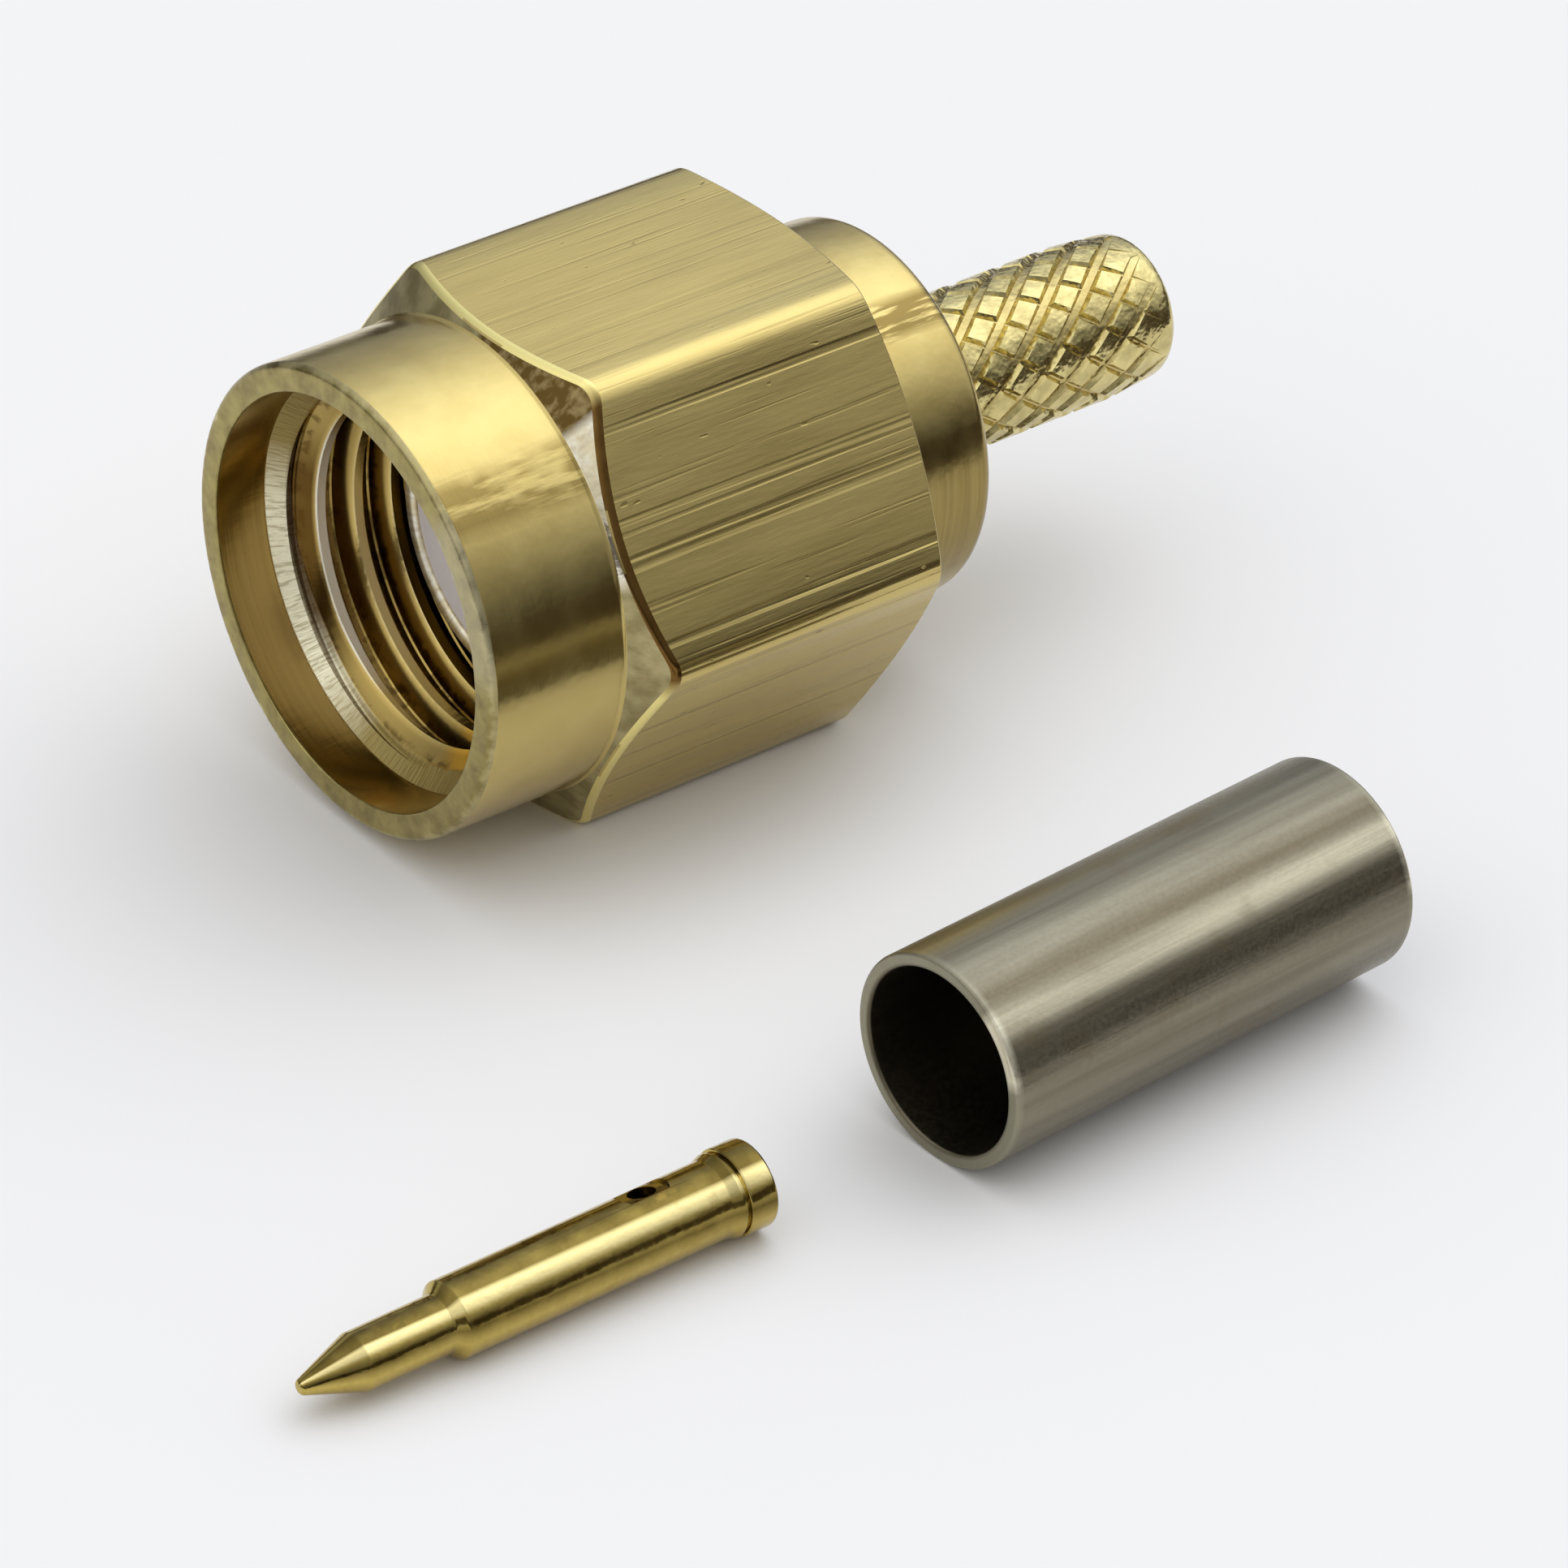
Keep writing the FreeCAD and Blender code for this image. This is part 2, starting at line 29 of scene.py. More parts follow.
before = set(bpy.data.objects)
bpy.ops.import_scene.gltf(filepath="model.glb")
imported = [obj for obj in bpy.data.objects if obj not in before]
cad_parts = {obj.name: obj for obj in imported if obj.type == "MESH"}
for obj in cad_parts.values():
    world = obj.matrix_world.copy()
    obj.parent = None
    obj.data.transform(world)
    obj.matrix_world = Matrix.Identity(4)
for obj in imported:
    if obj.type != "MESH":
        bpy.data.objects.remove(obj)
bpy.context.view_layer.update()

MM = 0.001
FULL_TURN = 2 * math.pi
MERGE_DISTANCE = 0.0001
SMOOTH_BELOW = math.radians(28)
SHARP_ABOVE = math.radians(35)
ROUND_SEGMENTS = 144
SMALL_SEGMENTS = 96

ACROSS_FLATS = 8.0
AXIS_HEIGHT = ACROSS_FLATS / 2
CORNER_ROUND = 0.5
NOSE_REACH = 4.2
REFERENCE_PLANE = -1.4
PITCH = 25.4 / 36
THREAD_MAJOR = 6.35
THREAD_MINOR = 5.64


# Shaping helpers

def to_metres(*lengths):
    return tuple(length * MM for length in lengths)


def deselect_all():
    bpy.ops.object.select_all(action="DESELECT")


def edit_mode():
    bpy.ops.object.mode_set(mode="EDIT")


def object_mode():
    bpy.ops.object.mode_set(mode="OBJECT")


def pick(piece):
    deselect_all()
    piece.select_set(True)
    bpy.context.view_layer.objects.active = piece


def rounded(corners, steps=3, closed=False):
    """Outline points from corners (along, radius, rounding), with each rounding an arc."""
    points = []
    count = len(corners)
    for number, corner in enumerate(corners):
        here = Vector(corner[:2])
        rounding = corner[2] if len(corner) > 2 else 0
        if not rounding or (not closed and number in (0, count - 1)):
            points.append(tuple(here))
            continue
        back = (Vector(corners[number - 1][:2]) - here).normalized()
        ahead = (Vector(corners[(number + 1) % count][:2]) - here).normalized()
        corner_angle = back.angle(ahead)
        reach = rounding / math.tan(corner_angle / 2)
        centre = here + (back + ahead).normalized() * rounding / math.sin(corner_angle / 2)
        first = here + back * reach - centre
        last = here + ahead * reach - centre
        turn = first.angle_signed(last)
        start = math.atan2(first.y, first.x)
        for step in range(steps + 1):
            angle = start - turn * step / steps
            points.append((centre.x + rounding * math.cos(angle), centre.y + rounding * math.sin(angle)))
    return points


def first_ring(name, along, radius, segments, height):
    """A ring of edges round a line parallel to X, in edit mode and selected."""
    deselect_all()
    bpy.ops.mesh.primitive_circle_add(
        vertices=segments, radius=radius * MM,
        location=to_metres(along, 0, height), rotation=(0, math.pi / 2, 0))
    piece = bpy.context.object
    piece.name = name
    bpy.ops.object.transform_apply(location=True, rotation=True, scale=True)
    edit_mode()
    bpy.ops.mesh.select_all(action="SELECT")
    return piece


def next_ring(here, there, height):
    """Extrudes the selected ring from one outline point to the next."""
    move = to_metres(there[0] - here[0], 0, 0)
    bpy.ops.mesh.extrude_region_move(TRANSFORM_OT_translate={"value": move})
    size = there[1] / here[1]
    bpy.ops.transform.resize(value=(1, size, size), center_override=to_metres(there[0], 0, height))


def close_at_axis(here, along):
    """Extrudes the selected ring to a point on the axis."""
    bpy.ops.mesh.extrude_region_move(
        TRANSFORM_OT_translate={"value": to_metres(along - here[0], 0, 0)})
    bpy.ops.mesh.merge(type="CENTER")


def joined_rings(name, outline, segments, height):
    """A ring for each point of a closed outline, joined to the next. Left in edit mode."""
    piece = first_ring(name, *outline[0], segments, height)
    for here, there in zip(outline, outline[1:] + outline[:1]):
        next_ring(here, there, height)
    return piece


def tidy_shell():
    """Merges doubles and turns every face outwards. Edit mode, left for object mode."""
    bpy.ops.mesh.select_all(action="SELECT")
    bpy.ops.mesh.remove_doubles(threshold=MERGE_DISTANCE * MM)
    bpy.ops.mesh.normals_make_consistent(inside=False)
    object_mode()


def turned(name, outline, segments=ROUND_SEGMENTS, height=AXIS_HEIGHT):
    """A tube turned from a closed outline of (along, radius) points."""
    piece = joined_rings(name, outline, segments, height)
    tidy_shell()
    return piece


def turned_solid(name, outline, segments):
    """A solid turned round the X axis from an open outline, whose two end points lie on it."""
    inner = outline[1:-1]
    piece = first_ring(name, *inner[0], segments, 0.0)
    for here, there in zip(inner, inner[1:]):
        next_ring(here, there, 0.0)
    close_at_axis(inner[-1], outline[-1][0])
    object_mode()
    for vertex in piece.data.vertices:
        vertex.select = vertex.index < segments
    edit_mode()
    close_at_axis(inner[0], outline[0][0])
    tidy_shell()
    return piece


def smooth(piece):
    pick(piece)
    bpy.ops.object.shade_smooth_by_angle(angle=SMOOTH_BELOW)


def apply_modifier(piece, kind, **settings):
    pick(piece)
    bpy.ops.object.modifier_add(type=kind)
    modifier = piece.modifiers[-1]
    for key, value in settings.items():
        setattr(modifier, key, value)
    bpy.ops.object.modifier_apply(modifier=modifier.name)


def cut_away(piece, cutter):
    apply_modifier(piece, "BOOLEAN", operation="DIFFERENCE", object=cutter, solver="EXACT")
    bpy.data.objects.remove(cutter)


def drill(piece, along, radius, bottom, top, segments):
    """Cuts an upright round hole from bottom to top."""
    deselect_all()
    bpy.ops.mesh.primitive_cylinder_add(
        vertices=segments, radius=radius * MM, depth=(top - bottom) * MM,
        location=to_metres(along, 0, (bottom + top) / 2))
    cut_away(piece, bpy.context.object)


def helical_cutter(name, corners, lead, turns, start, steps_per_turn=96):
    """A bar of the given section (along, radius) wound round the plug's axis, with closed ends."""
    deselect_all()
    bpy.ops.mesh.primitive_circle_add(vertices=len(corners), radius=MM, fill_type="NOTHING")
    cutter = bpy.context.object
    cutter.name = name
    for vertex, (along, radius) in zip(cutter.data.vertices, corners):
        vertex.co = to_metres(along, 0, radius)
    steps = int(steps_per_turn * abs(turns))
    apply_modifier(
        cutter, "SCREW", axis="X", angle=FULL_TURN * turns, screw_offset=lead * turns * MM,
        steps=steps, render_steps=steps, use_merge_vertices=False)
    edit_mode()
    bpy.ops.mesh.select_all(action="DESELECT")
    bpy.ops.mesh.select_mode(type="EDGE")
    bpy.ops.mesh.select_non_manifold()
    bpy.ops.mesh.edge_face_add()
    bpy.ops.mesh.select_mode(type="VERT")
    tidy_shell()
    cutter.location = to_metres(start, 0, AXIS_HEIGHT)
    pick(cutter)
    bpy.ops.object.transform_apply(location=True, rotation=True, scale=True)
    return cutter


# Coupling nut: places along it are counted from the nose's front face

NUT_FRONT = -NOSE_REACH
NUT_LENGTH = 8.29
NOSE_RADIUS = 3.835
NOSE_LENGTH = 2.47
MOUTH_RADIUS = 3.375
CONE_FRONT = 0.93
THREAD_FRONT = 1.45
THREAD_REAR = 4.15
RELIEF_REAR = 6.54
RELIEF_RADIUS = 3.255
WEB_BORE = 2.71
RING_GROOVE_FRONT = 7.03
RING_GROOVE_REAR = 7.65
RING_GROOVE_RADIUS = 2.94
REAR_FACE_RADIUS = 3.92
FRONT_CHAMFER = math.radians(32.5)
REAR_CHAMFER = math.radians(22)
FRONT_EDGE_BEVEL = 0.09
REAR_EDGE_BEVEL = 0.035
BAR_RADIUS = 5.2
SIDE_DEGREES = 60
FLAT_STEPS = 16
CORNER_STEPS = 8
THREAD_CUT_FRONT = 0.73
THREAD_CUT_TURNS = 5.3


def hexagon_section():
    """Points (direction, distance) round the rounded hexagon, in radians and millimetres."""
    apothem = ACROSS_FLATS / 2
    half_side = math.radians(SIDE_DEGREES / 2)
    flat_half = apothem * math.tan(half_side) - CORNER_ROUND * math.tan(half_side)
    corner_centre = (apothem - CORNER_ROUND) / math.cos(half_side)
    section = []
    for side in range(6):
        middle = math.radians(SIDE_DEGREES * side)
        for step in range(FLAT_STEPS):
            offset = flat_half * (2 * step / FLAT_STEPS - 1)
            section.append((middle + math.atan2(offset, apothem), math.hypot(offset, apothem)))
        for step in range(CORNER_STEPS):
            spread = math.radians(SIDE_DEGREES) * (step / CORNER_STEPS - 0.5)
            across = corner_centre + CORNER_ROUND * math.cos(spread)
            aside = CORNER_ROUND * math.sin(spread)
            direction = middle + half_side + math.atan2(aside, across)
            section.append((direction, math.hypot(aside, across)))
    return section


def nut_outline():
    """Closed outline from the mouth over the outside to the bore, and which ring is the bar's front."""
    front_edge = NOSE_LENGTH + (BAR_RADIUS - NOSE_RADIUS) * math.tan(FRONT_CHAMFER)
    rear_edge = NUT_LENGTH - (BAR_RADIUS - REAR_FACE_RADIUS) * math.tan(REAR_CHAMFER)
    outside = rounded([
        (0.05, MOUTH_RADIUS),
        (0.0, MOUTH_RADIUS, 0.03),
        (0.0, NOSE_RADIUS, 0.13),
        (NOSE_LENGTH, NOSE_RADIUS, 0.1),
        (front_edge, BAR_RADIUS),
    ], steps=7)
    inside = [
        (rear_edge, BAR_RADIUS),
        (NUT_LENGTH, REAR_FACE_RADIUS),
        (NUT_LENGTH, WEB_BORE),
        (RING_GROOVE_REAR, WEB_BORE),
        (RING_GROOVE_REAR, RING_GROOVE_RADIUS),
        (RING_GROOVE_FRONT, RING_GROOVE_RADIUS),
        (RING_GROOVE_FRONT, WEB_BORE),
        (RELIEF_REAR, WEB_BORE),
        (RELIEF_REAR, RELIEF_RADIUS),
        (THREAD_REAR, RELIEF_RADIUS),
        (THREAD_REAR, THREAD_MINOR / 2),
        (THREAD_FRONT, THREAD_MINOR / 2),
        (CONE_FRONT, MOUTH_RADIUS),
    ]
    return [(along + NUT_FRONT, radius) for along, radius in outside + inside], len(outside) - 1


def shape_hexagon(piece, section, front_ring, outline):
    """Sets each ring's points in the hexagon's directions, and brings the bar's end rings in to it."""
    count = len(section)
    for vertex in piece.data.vertices:
        ring, number = divmod(vertex.index, count)
        along, radius = outline[ring % len(outline)]
        direction, reach = section[number]
        if ring == front_ring:
            along = NUT_FRONT + NOSE_LENGTH + (reach - NOSE_RADIUS) * math.tan(FRONT_CHAMFER)
            radius = reach
        elif ring == front_ring + 1:
            rise = max(reach - REAR_FACE_RADIUS, 0)
            along = NUT_FRONT + NUT_LENGTH - rise * math.tan(REAR_CHAMFER)
            radius = reach
        elif ring == front_ring + 2:
            radius = min(radius, reach)
        vertex.co = to_metres(
            along, radius * math.sin(direction), AXIS_HEIGHT + radius * math.cos(direction))


def round_hexagon_edges(nut, front, width):
    """Rounds the edges between the hexagon's faces and its front or its rear chamfer. Edit mode."""
    bpy.ops.mesh.select_all(action="DESELECT")
    bpy.ops.mesh.select_mode(type="EDGE")
    bpy.ops.mesh.edges_select_sharp(sharpness=SHARP_ABOVE)
    object_mode()
    middle = (NUT_FRONT + NUT_LENGTH / 2) * MM
    near_flats = (ACROSS_FLATS / 2 - 0.02) * MM
    for edge in nut.data.edges:
        ends = [nut.data.vertices[number].co for number in edge.vertices]
        outside = all(math.hypot(end.y, end.z - AXIS_HEIGHT * MM) > near_flats for end in ends)
        edge.select = edge.select and outside and (ends[0].x < middle) == front
    edit_mode()
    bpy.ops.mesh.bevel(offset=width * MM, segments=4, affect="EDGES", clamp_overlap=False)
    bpy.ops.mesh.select_mode(type="VERT")


def thread_cutter():
    """The bar that cuts the thread's groove, right-handed and open to the bore."""
    root = THREAD_MAJOR / 2
    crest = THREAD_MINOR / 2
    flank = [
        (0.35, crest - 0.12),
        (0.275, crest),
        (0.23, crest + 0.05),
        (0.08, root - 0.02),
        (0.05, root),
    ]
    mirrored = [(-along, radius) for along, radius in flank]
    start = NUT_FRONT + THREAD_CUT_FRONT
    return helical_cutter("thread_cutter", mirrored + flank[::-1], PITCH, THREAD_CUT_TURNS, start)


def coupling_nut():
    outline, front_ring = nut_outline()
    section = hexagon_section()
    nut = joined_rings("nut", outline, len(section), AXIS_HEIGHT)
    object_mode()
    shape_hexagon(nut, section, front_ring, outline)
    edit_mode()
    tidy_shell()
    edit_mode()
    round_hexagon_edges(nut, True, FRONT_EDGE_BEVEL)
    round_hexagon_edges(nut, False, REAR_EDGE_BEVEL)
    tidy_shell()
    cut_away(nut, thread_cutter())
    smooth(nut)
    return nut


# Connector body: places along it are counted from the frame's origin

SLEEVE_BORE = 2.04
SLEEVE_RADIUS = 2.3
BARREL_RADIUS = 2.65
BARREL_FRONT = 2.5
GROOVE_RADIUS = 2.33
GROOVE_FRONT = 2.86
GROOVE_REAR = 3.42
COLLAR_RADIUS = 3.13
COLLAR_FRONT = 4.13
COLLAR_REAR = 6.05
NECK_RADIUS = 1.16
NECK_REAR = 6.42
STEM_RADIUS = 1.31
STEM_BORE = 0.8
STEM_FRONT = 6.62
STEM_TAPER = 10.3
STEM_END = 11.45
STEM_END_RADIUS = 1.2
STEM_MOUTH = 0.12
INSULATOR_SEAT = 3.47
KNURL_FRONT = 6.65
KNURL_REAR = 10.85
KNURL_RUN_OUT = 0.3
KNURL_STARTS = 12
KNURL_ANGLE = math.radians(38)
KNURL_UNEVEN = 2.2


def body_outline():
    """Closed outline from the sleeve's front over the outside and back through the bore."""
    return rounded([
        (REFERENCE_PLANE, SLEEVE_BORE, 0.11),
        (REFERENCE_PLANE, SLEEVE_RADIUS, 0.07),
        (BARREL_FRONT, SLEEVE_RADIUS),
        (BARREL_FRONT, BARREL_RADIUS, 0.05),
        (GROOVE_FRONT, BARREL_RADIUS),
        (GROOVE_FRONT, GROOVE_RADIUS),
        (GROOVE_REAR, GROOVE_RADIUS),
        (GROOVE_REAR, BARREL_RADIUS),
        (COLLAR_FRONT, BARREL_RADIUS),
        (COLLAR_FRONT, COLLAR_RADIUS, 0.06),
        (COLLAR_REAR, COLLAR_RADIUS, 0.25),
        (COLLAR_REAR, NECK_RADIUS, 0.08),
        (NECK_REAR, NECK_RADIUS),
        (STEM_FRONT, STEM_RADIUS, 0.1),
        (STEM_TAPER, STEM_RADIUS),
        (STEM_END, STEM_END_RADIUS, 0.26),
        (STEM_END, STEM_BORE + STEM_MOUTH, 0.03),
        (STEM_END - STEM_MOUTH, STEM_BORE),
        (INSULATOR_SEAT, STEM_BORE),
        (INSULATOR_SEAT, SLEEVE_BORE),
    ], steps=6, closed=True)


def knurl_cutters(hand, depth, floor_width, mouth_width):
    """The grooves of one hand, a little unevenly set, joined in one object."""
    lead = FULL_TURN * STEM_RADIUS / math.tan(KNURL_ANGLE)
    length = KNURL_REAR - KNURL_FRONT + 2 * KNURL_RUN_OUT
    above = 0.06
    spread = 0.5 / math.sin(KNURL_ANGLE)
    floor = floor_width * spread
    mouth = (mouth_width + (mouth_width - floor_width) * above / depth) * spread
    groove = helical_cutter(f"knurl_cutter_{hand}", [
        (-mouth, STEM_RADIUS + above),
        (-floor, STEM_RADIUS - depth),
        (floor, STEM_RADIUS - depth),
        (mouth, STEM_RADIUS + above),
    ], hand * lead, hand * length / lead, KNURL_FRONT - KNURL_RUN_OUT, steps_per_turn=110)
    grooves = [groove]
    for start in range(1, KNURL_STARTS):
        copy = groove.copy()
        copy.data = groove.data.copy()
        bpy.context.collection.objects.link(copy)
        uneven = math.radians(random.uniform(-KNURL_UNEVEN, KNURL_UNEVEN))
        turn = Matrix.Rotation(FULL_TURN * start / KNURL_STARTS + uneven, 4, "X")
        centre = Matrix.Translation(to_metres(0, 0, AXIS_HEIGHT))
        copy.data.transform(centre @ turn @ centre.inverted())
        grooves.append(copy)
    pick(groove)
    for copy in grooves:
        copy.select_set(True)
    bpy.ops.object.join()
    return groove


def connector_body():
    body = turned("plug_body", body_outline())
    random.seed(36)
    cut_away(body, knurl_cutters(hand=-1, depth=0.09, floor_width=0.12, mouth_width=0.24))
    cut_away(body, knurl_cutters(hand=1, depth=0.08, floor_width=0.03, mouth_width=0.13))
    smooth(body)
    return body


# Insulator

BEAD_FRONT = REFERENCE_PLANE + 0.05
BEAD_RADIUS = 2.03
BEAD_BORE = 0.625


def insulator():
    bead = turned("ptfe_bead", rounded([
        (BEAD_FRONT, BEAD_BORE, 0.03),
        (BEAD_FRONT, BEAD_RADIUS, 0.05),
        (INSULATOR_SEAT, BEAD_RADIUS),
        (INSULATOR_SEAT, BEAD_BORE),
    ], closed=True), SMALL_SEGMENTS)
    smooth(bead)
    return bead


# Centre contact, drawn from its tip and then laid on the surface, on its shoulder and its head

TIP_RADIUS = 0.11
PIN_RADIUS = 0.4525
PIN_FRONT = 0.98
PIN_REAR = 2.43
SOLDER_FRONT = 2.57
SOLDER_REAR = 7.25
SOLDER_RADIUS = 0.605
RIDGE_FRONT = 7.4
RIDGE_REAR = 7.45
RIDGE_RADIUS = 0.66
UNDERCUT_RADIUS = 0.62
HEAD_RADIUS = 0.69
HEAD_FRONT = 7.51
HEAD_REST = HEAD_FRONT + 0.04
CONTACT_END = 8.0
WIRE_BORE = 0.28
WIRE_BORE_FRONT = 4.9
WIRE_BORE_TIP = 4.74
HOLE_ALONG = CONTACT_END - 1.85
HOLE_RADIUS = 0.22
HOLE_TOP = 0.7
DISH_RADIUS = 0.42
DISH_BOTTOM = 0.555
DISH_TOP = 0.755
CONTACT_SHOULDER = (-10.74, -11.71)
CONTACT_ROLL = math.radians(-20)
CONTACT_TILT = math.atan((HEAD_RADIUS - SOLDER_RADIUS) / (HEAD_REST - SOLDER_FRONT))


def contact_placement():
    """From the contact's own frame, with its tip at the origin, to its place."""
    reach = SOLDER_FRONT * math.cos(CONTACT_TILT)
    lift = SOLDER_RADIUS * math.cos(CONTACT_TILT) - SOLDER_FRONT * math.sin(CONTACT_TILT)
    place = Matrix.Translation(to_metres(CONTACT_SHOULDER[0] - reach, CONTACT_SHOULDER[1], lift))
    tilt = Matrix.Rotation(-CONTACT_TILT, 4, "Y")
    roll = Matrix.Rotation(CONTACT_ROLL, 4, "X")
    return place @ tilt @ roll


def centre_contact():
    """Pointed pin, solder barrel with its side hole in a shallow dish, and head."""
    contact = turned_solid("centre_pin", rounded([
        (0.0, 0.0),
        (0.0, TIP_RADIUS, 0.07),
        (PIN_FRONT, PIN_RADIUS, 0.12),
        (PIN_REAR, PIN_RADIUS, 0.05),
        (SOLDER_FRONT, SOLDER_RADIUS, 0.06),
        (SOLDER_REAR, SOLDER_RADIUS, 0.15),
        (RIDGE_FRONT, RIDGE_RADIUS, 0.03),
        (RIDGE_REAR, RIDGE_RADIUS, 0.015),
        (RIDGE_REAR, UNDERCUT_RADIUS),
        (HEAD_FRONT, UNDERCUT_RADIUS),
        (HEAD_FRONT, HEAD_RADIUS, 0.035),
        (CONTACT_END, HEAD_RADIUS, 0.06),
        (CONTACT_END, WIRE_BORE, 0.03),
        (WIRE_BORE_FRONT, WIRE_BORE),
        (WIRE_BORE_TIP, 0.0),
    ], steps=5), SMALL_SEGMENTS)
    drill(contact, HOLE_ALONG, HOLE_RADIUS, 0.0, HOLE_TOP, segments=40)
    drill(contact, HOLE_ALONG, DISH_RADIUS, DISH_BOTTOM, DISH_TOP, segments=48)
    contact.data.transform(contact_placement())
    smooth(contact)
    return contact


# Crimp ferrule, drawn from its near end and then laid on the surface

FERRULE_RADIUS = 1.71
FERRULE_BORE = 1.48
FERRULE_LENGTH = 8.15
FERRULE_ROUND = 0.06
FERRULE_PLACE = (-2.17, -12.04, FERRULE_RADIUS)
FERRULE_TURN = math.radians(3.8)


def crimp_ferrule():
    ferrule = turned("ferrule", rounded([
        (0.0, FERRULE_BORE, FERRULE_ROUND),
        (0.0, FERRULE_RADIUS, FERRULE_ROUND),
        (FERRULE_LENGTH, FERRULE_RADIUS, FERRULE_ROUND),
        (FERRULE_LENGTH, FERRULE_BORE, FERRULE_ROUND),
    ], steps=5, closed=True), height=0.0)
    place = Matrix.Translation(to_metres(*FERRULE_PLACE))
    ferrule.data.transform(place @ Matrix.Rotation(FERRULE_TURN, 4, "Z"))
    smooth(ferrule)
    return ferrule


# Finishes

GOLD = (0.62, 0.495, 0.19, 1)
CONTACT_GOLD = (0.55, 0.42, 0.115, 1)
NICKEL = (0.27, 0.245, 0.175, 1)


def darker(colour, share, warmth=1.0):
    """The colour at a share of its strength, with its green and blue lowered further by warmth."""
    return (colour[0] * share, colour[1] * share * warmth, colour[2] * share * warmth ** 3, 1)


class Graph:
    """Shader nodes, joined by short calls whose values are constants or other nodes' outputs."""

    def __init__(self, tree):
        self.tree = tree

    def put(self, socket, value):
        if isinstance(value, bpy.types.NodeSocket):
            self.tree.links.new(value, socket)
        else:
            socket.default_value = value

    def maths(self, operation, first, second=0.0, third=0.0):
        node = self.tree.nodes.new("ShaderNodeMath")
        node.operation = operation
        for socket, value in zip(node.inputs, (first, second, third)):
            self.put(socket, value)
        return node.outputs[0]

    def times(self, *values):
        product = values[0]
        for value in values[1:]:
            product = self.maths("MULTIPLY", product, value)
        return product

    def vector(self, operation, first, second, output="Vector"):
        node = self.tree.nodes.new("ShaderNodeVectorMath")
        node.operation = operation
        self.put(node.inputs[0], first)
        self.put(node.inputs[1], second)
        return node.outputs[output]

    def remap(self, value, low, high, to_low=0.0, to_high=1.0):
        node = self.tree.nodes.new("ShaderNodeMapRange")
        for socket, number in zip(node.inputs, (value, low, high, to_low, to_high)):
            self.put(socket, number)
        return node.outputs["Result"]

    def blend(self, factor, first, second):
        node = self.tree.nodes.new("ShaderNodeMix")
        node.data_type = "RGBA"
        self.put(node.inputs["Factor"], factor)
        self.put(node.inputs["A"], first)
        self.put(node.inputs["B"], second)
        return node.outputs["Result"]

    def over(self, colour, top, share, *masks):
        """The colour with a top one laid over it by a share, where all the masks are 1."""
        return self.blend(self.times(*masks, share), colour, top)


class Finish(Graph):
    """A metal or plastic finish, built up from nodes that read the piece's own millimetres."""

    def __init__(self, name, place=(0.0, 0.0, AXIS_HEIGHT), turn=0.0):
        self.material = bpy.data.materials.new(name)
        self.material.use_nodes = True
        super().__init__(self.material.node_tree)
        self.shader = self.tree.nodes["Principled BSDF"]
        coordinate = self.tree.nodes.new("ShaderNodeTexCoord")
        mapping = self.tree.nodes.new("ShaderNodeMapping")
        mapping.vector_type = "TEXTURE"
        mapping.inputs["Location"].default_value = to_metres(*place)
        mapping.inputs["Rotation"].default_value = (0, 0, turn)
        mapping.inputs["Scale"].default_value = (MM, MM, MM)
        self.tree.links.new(coordinate.outputs["Object"], mapping.inputs["Vector"])
        self.place = mapping.outputs["Vector"]
        self.height = None

    def set(self, name, value):
        self.put(self.shader.inputs[name], value)

    def metal(self, colour, roughness):
        self.set("Base Color", colour)
        self.set("Metallic", 1.0)
        self.set("Roughness", roughness)

    def relief(self, height, depth):
        """Adds a relief of the given depth in millimetres."""
        node = self.tree.nodes.new("ShaderNodeBump")
        node.inputs["Distance"].default_value = depth * MM
        self.put(node.inputs["Height"], height)
        if self.height is not None:
            self.put(node.inputs["Normal"], self.height)
        self.height = node.outputs["Normal"]
        self.set("Normal", self.height)

    def noise(self, vector, scale=1.0, detail=3.0, roughness=0.55):
        node = self.tree.nodes.new("ShaderNodeTexNoise")
        self.put(node.inputs["Vector"], vector)
        node.inputs["Scale"].default_value = scale
        node.inputs["Detail"].default_value = detail
        node.inputs["Roughness"].default_value = roughness
        return node.outputs["Fac"]

    def along(self):
        """Distance along the axis."""
        node = self.tree.nodes.new("ShaderNodeSeparateXYZ")
        self.put(node.inputs[0], self.place)
        return node.outputs["X"]

    def stretched(self, along, across):
        """The place, squeezed so that a pattern runs in lines along or across the axis."""
        return self.vector("MULTIPLY", self.place, (along, across, across))

    def off_axis(self):
        """Distance from the axis."""
        return self.vector("LENGTH", self.stretched(0.0, 1.0), (0, 0, 0), "Value")

    def outward(self):
        """Unit vector away from the axis."""
        return self.vector("NORMALIZE", self.stretched(0.0, 1.0), (0, 0, 0))

    def around(self, along, turns):
        """A place for patterns that change fast round the axis and slowly along it."""
        round_axis = self.vector("MULTIPLY", self.outward(), (turns, turns, turns))
        return self.vector("ADD", round_axis, self.stretched(along, 0.0))

    def facing(self, side, spread):
        """1 on the side at so many degrees from the top towards -Y, and 0 past the spread."""
        turn = math.radians(side)
        toward = (0, -math.sin(turn), math.cos(turn))
        angle = self.maths("ARCCOSINE", self.vector("DOT_PRODUCT", self.outward(), toward, "Value"))
        return self.remap(angle, 0.0, math.radians(spread), 1.0, 0.0)

    def between(self, value, start, end, soft):
        """1 from start to end, with soft borders."""
        rising = self.remap(value, start - soft, start + soft)
        falling = self.remap(value, end - soft, end + soft, 1.0, 0.0)
        return self.maths("MULTIPLY", rising, falling)


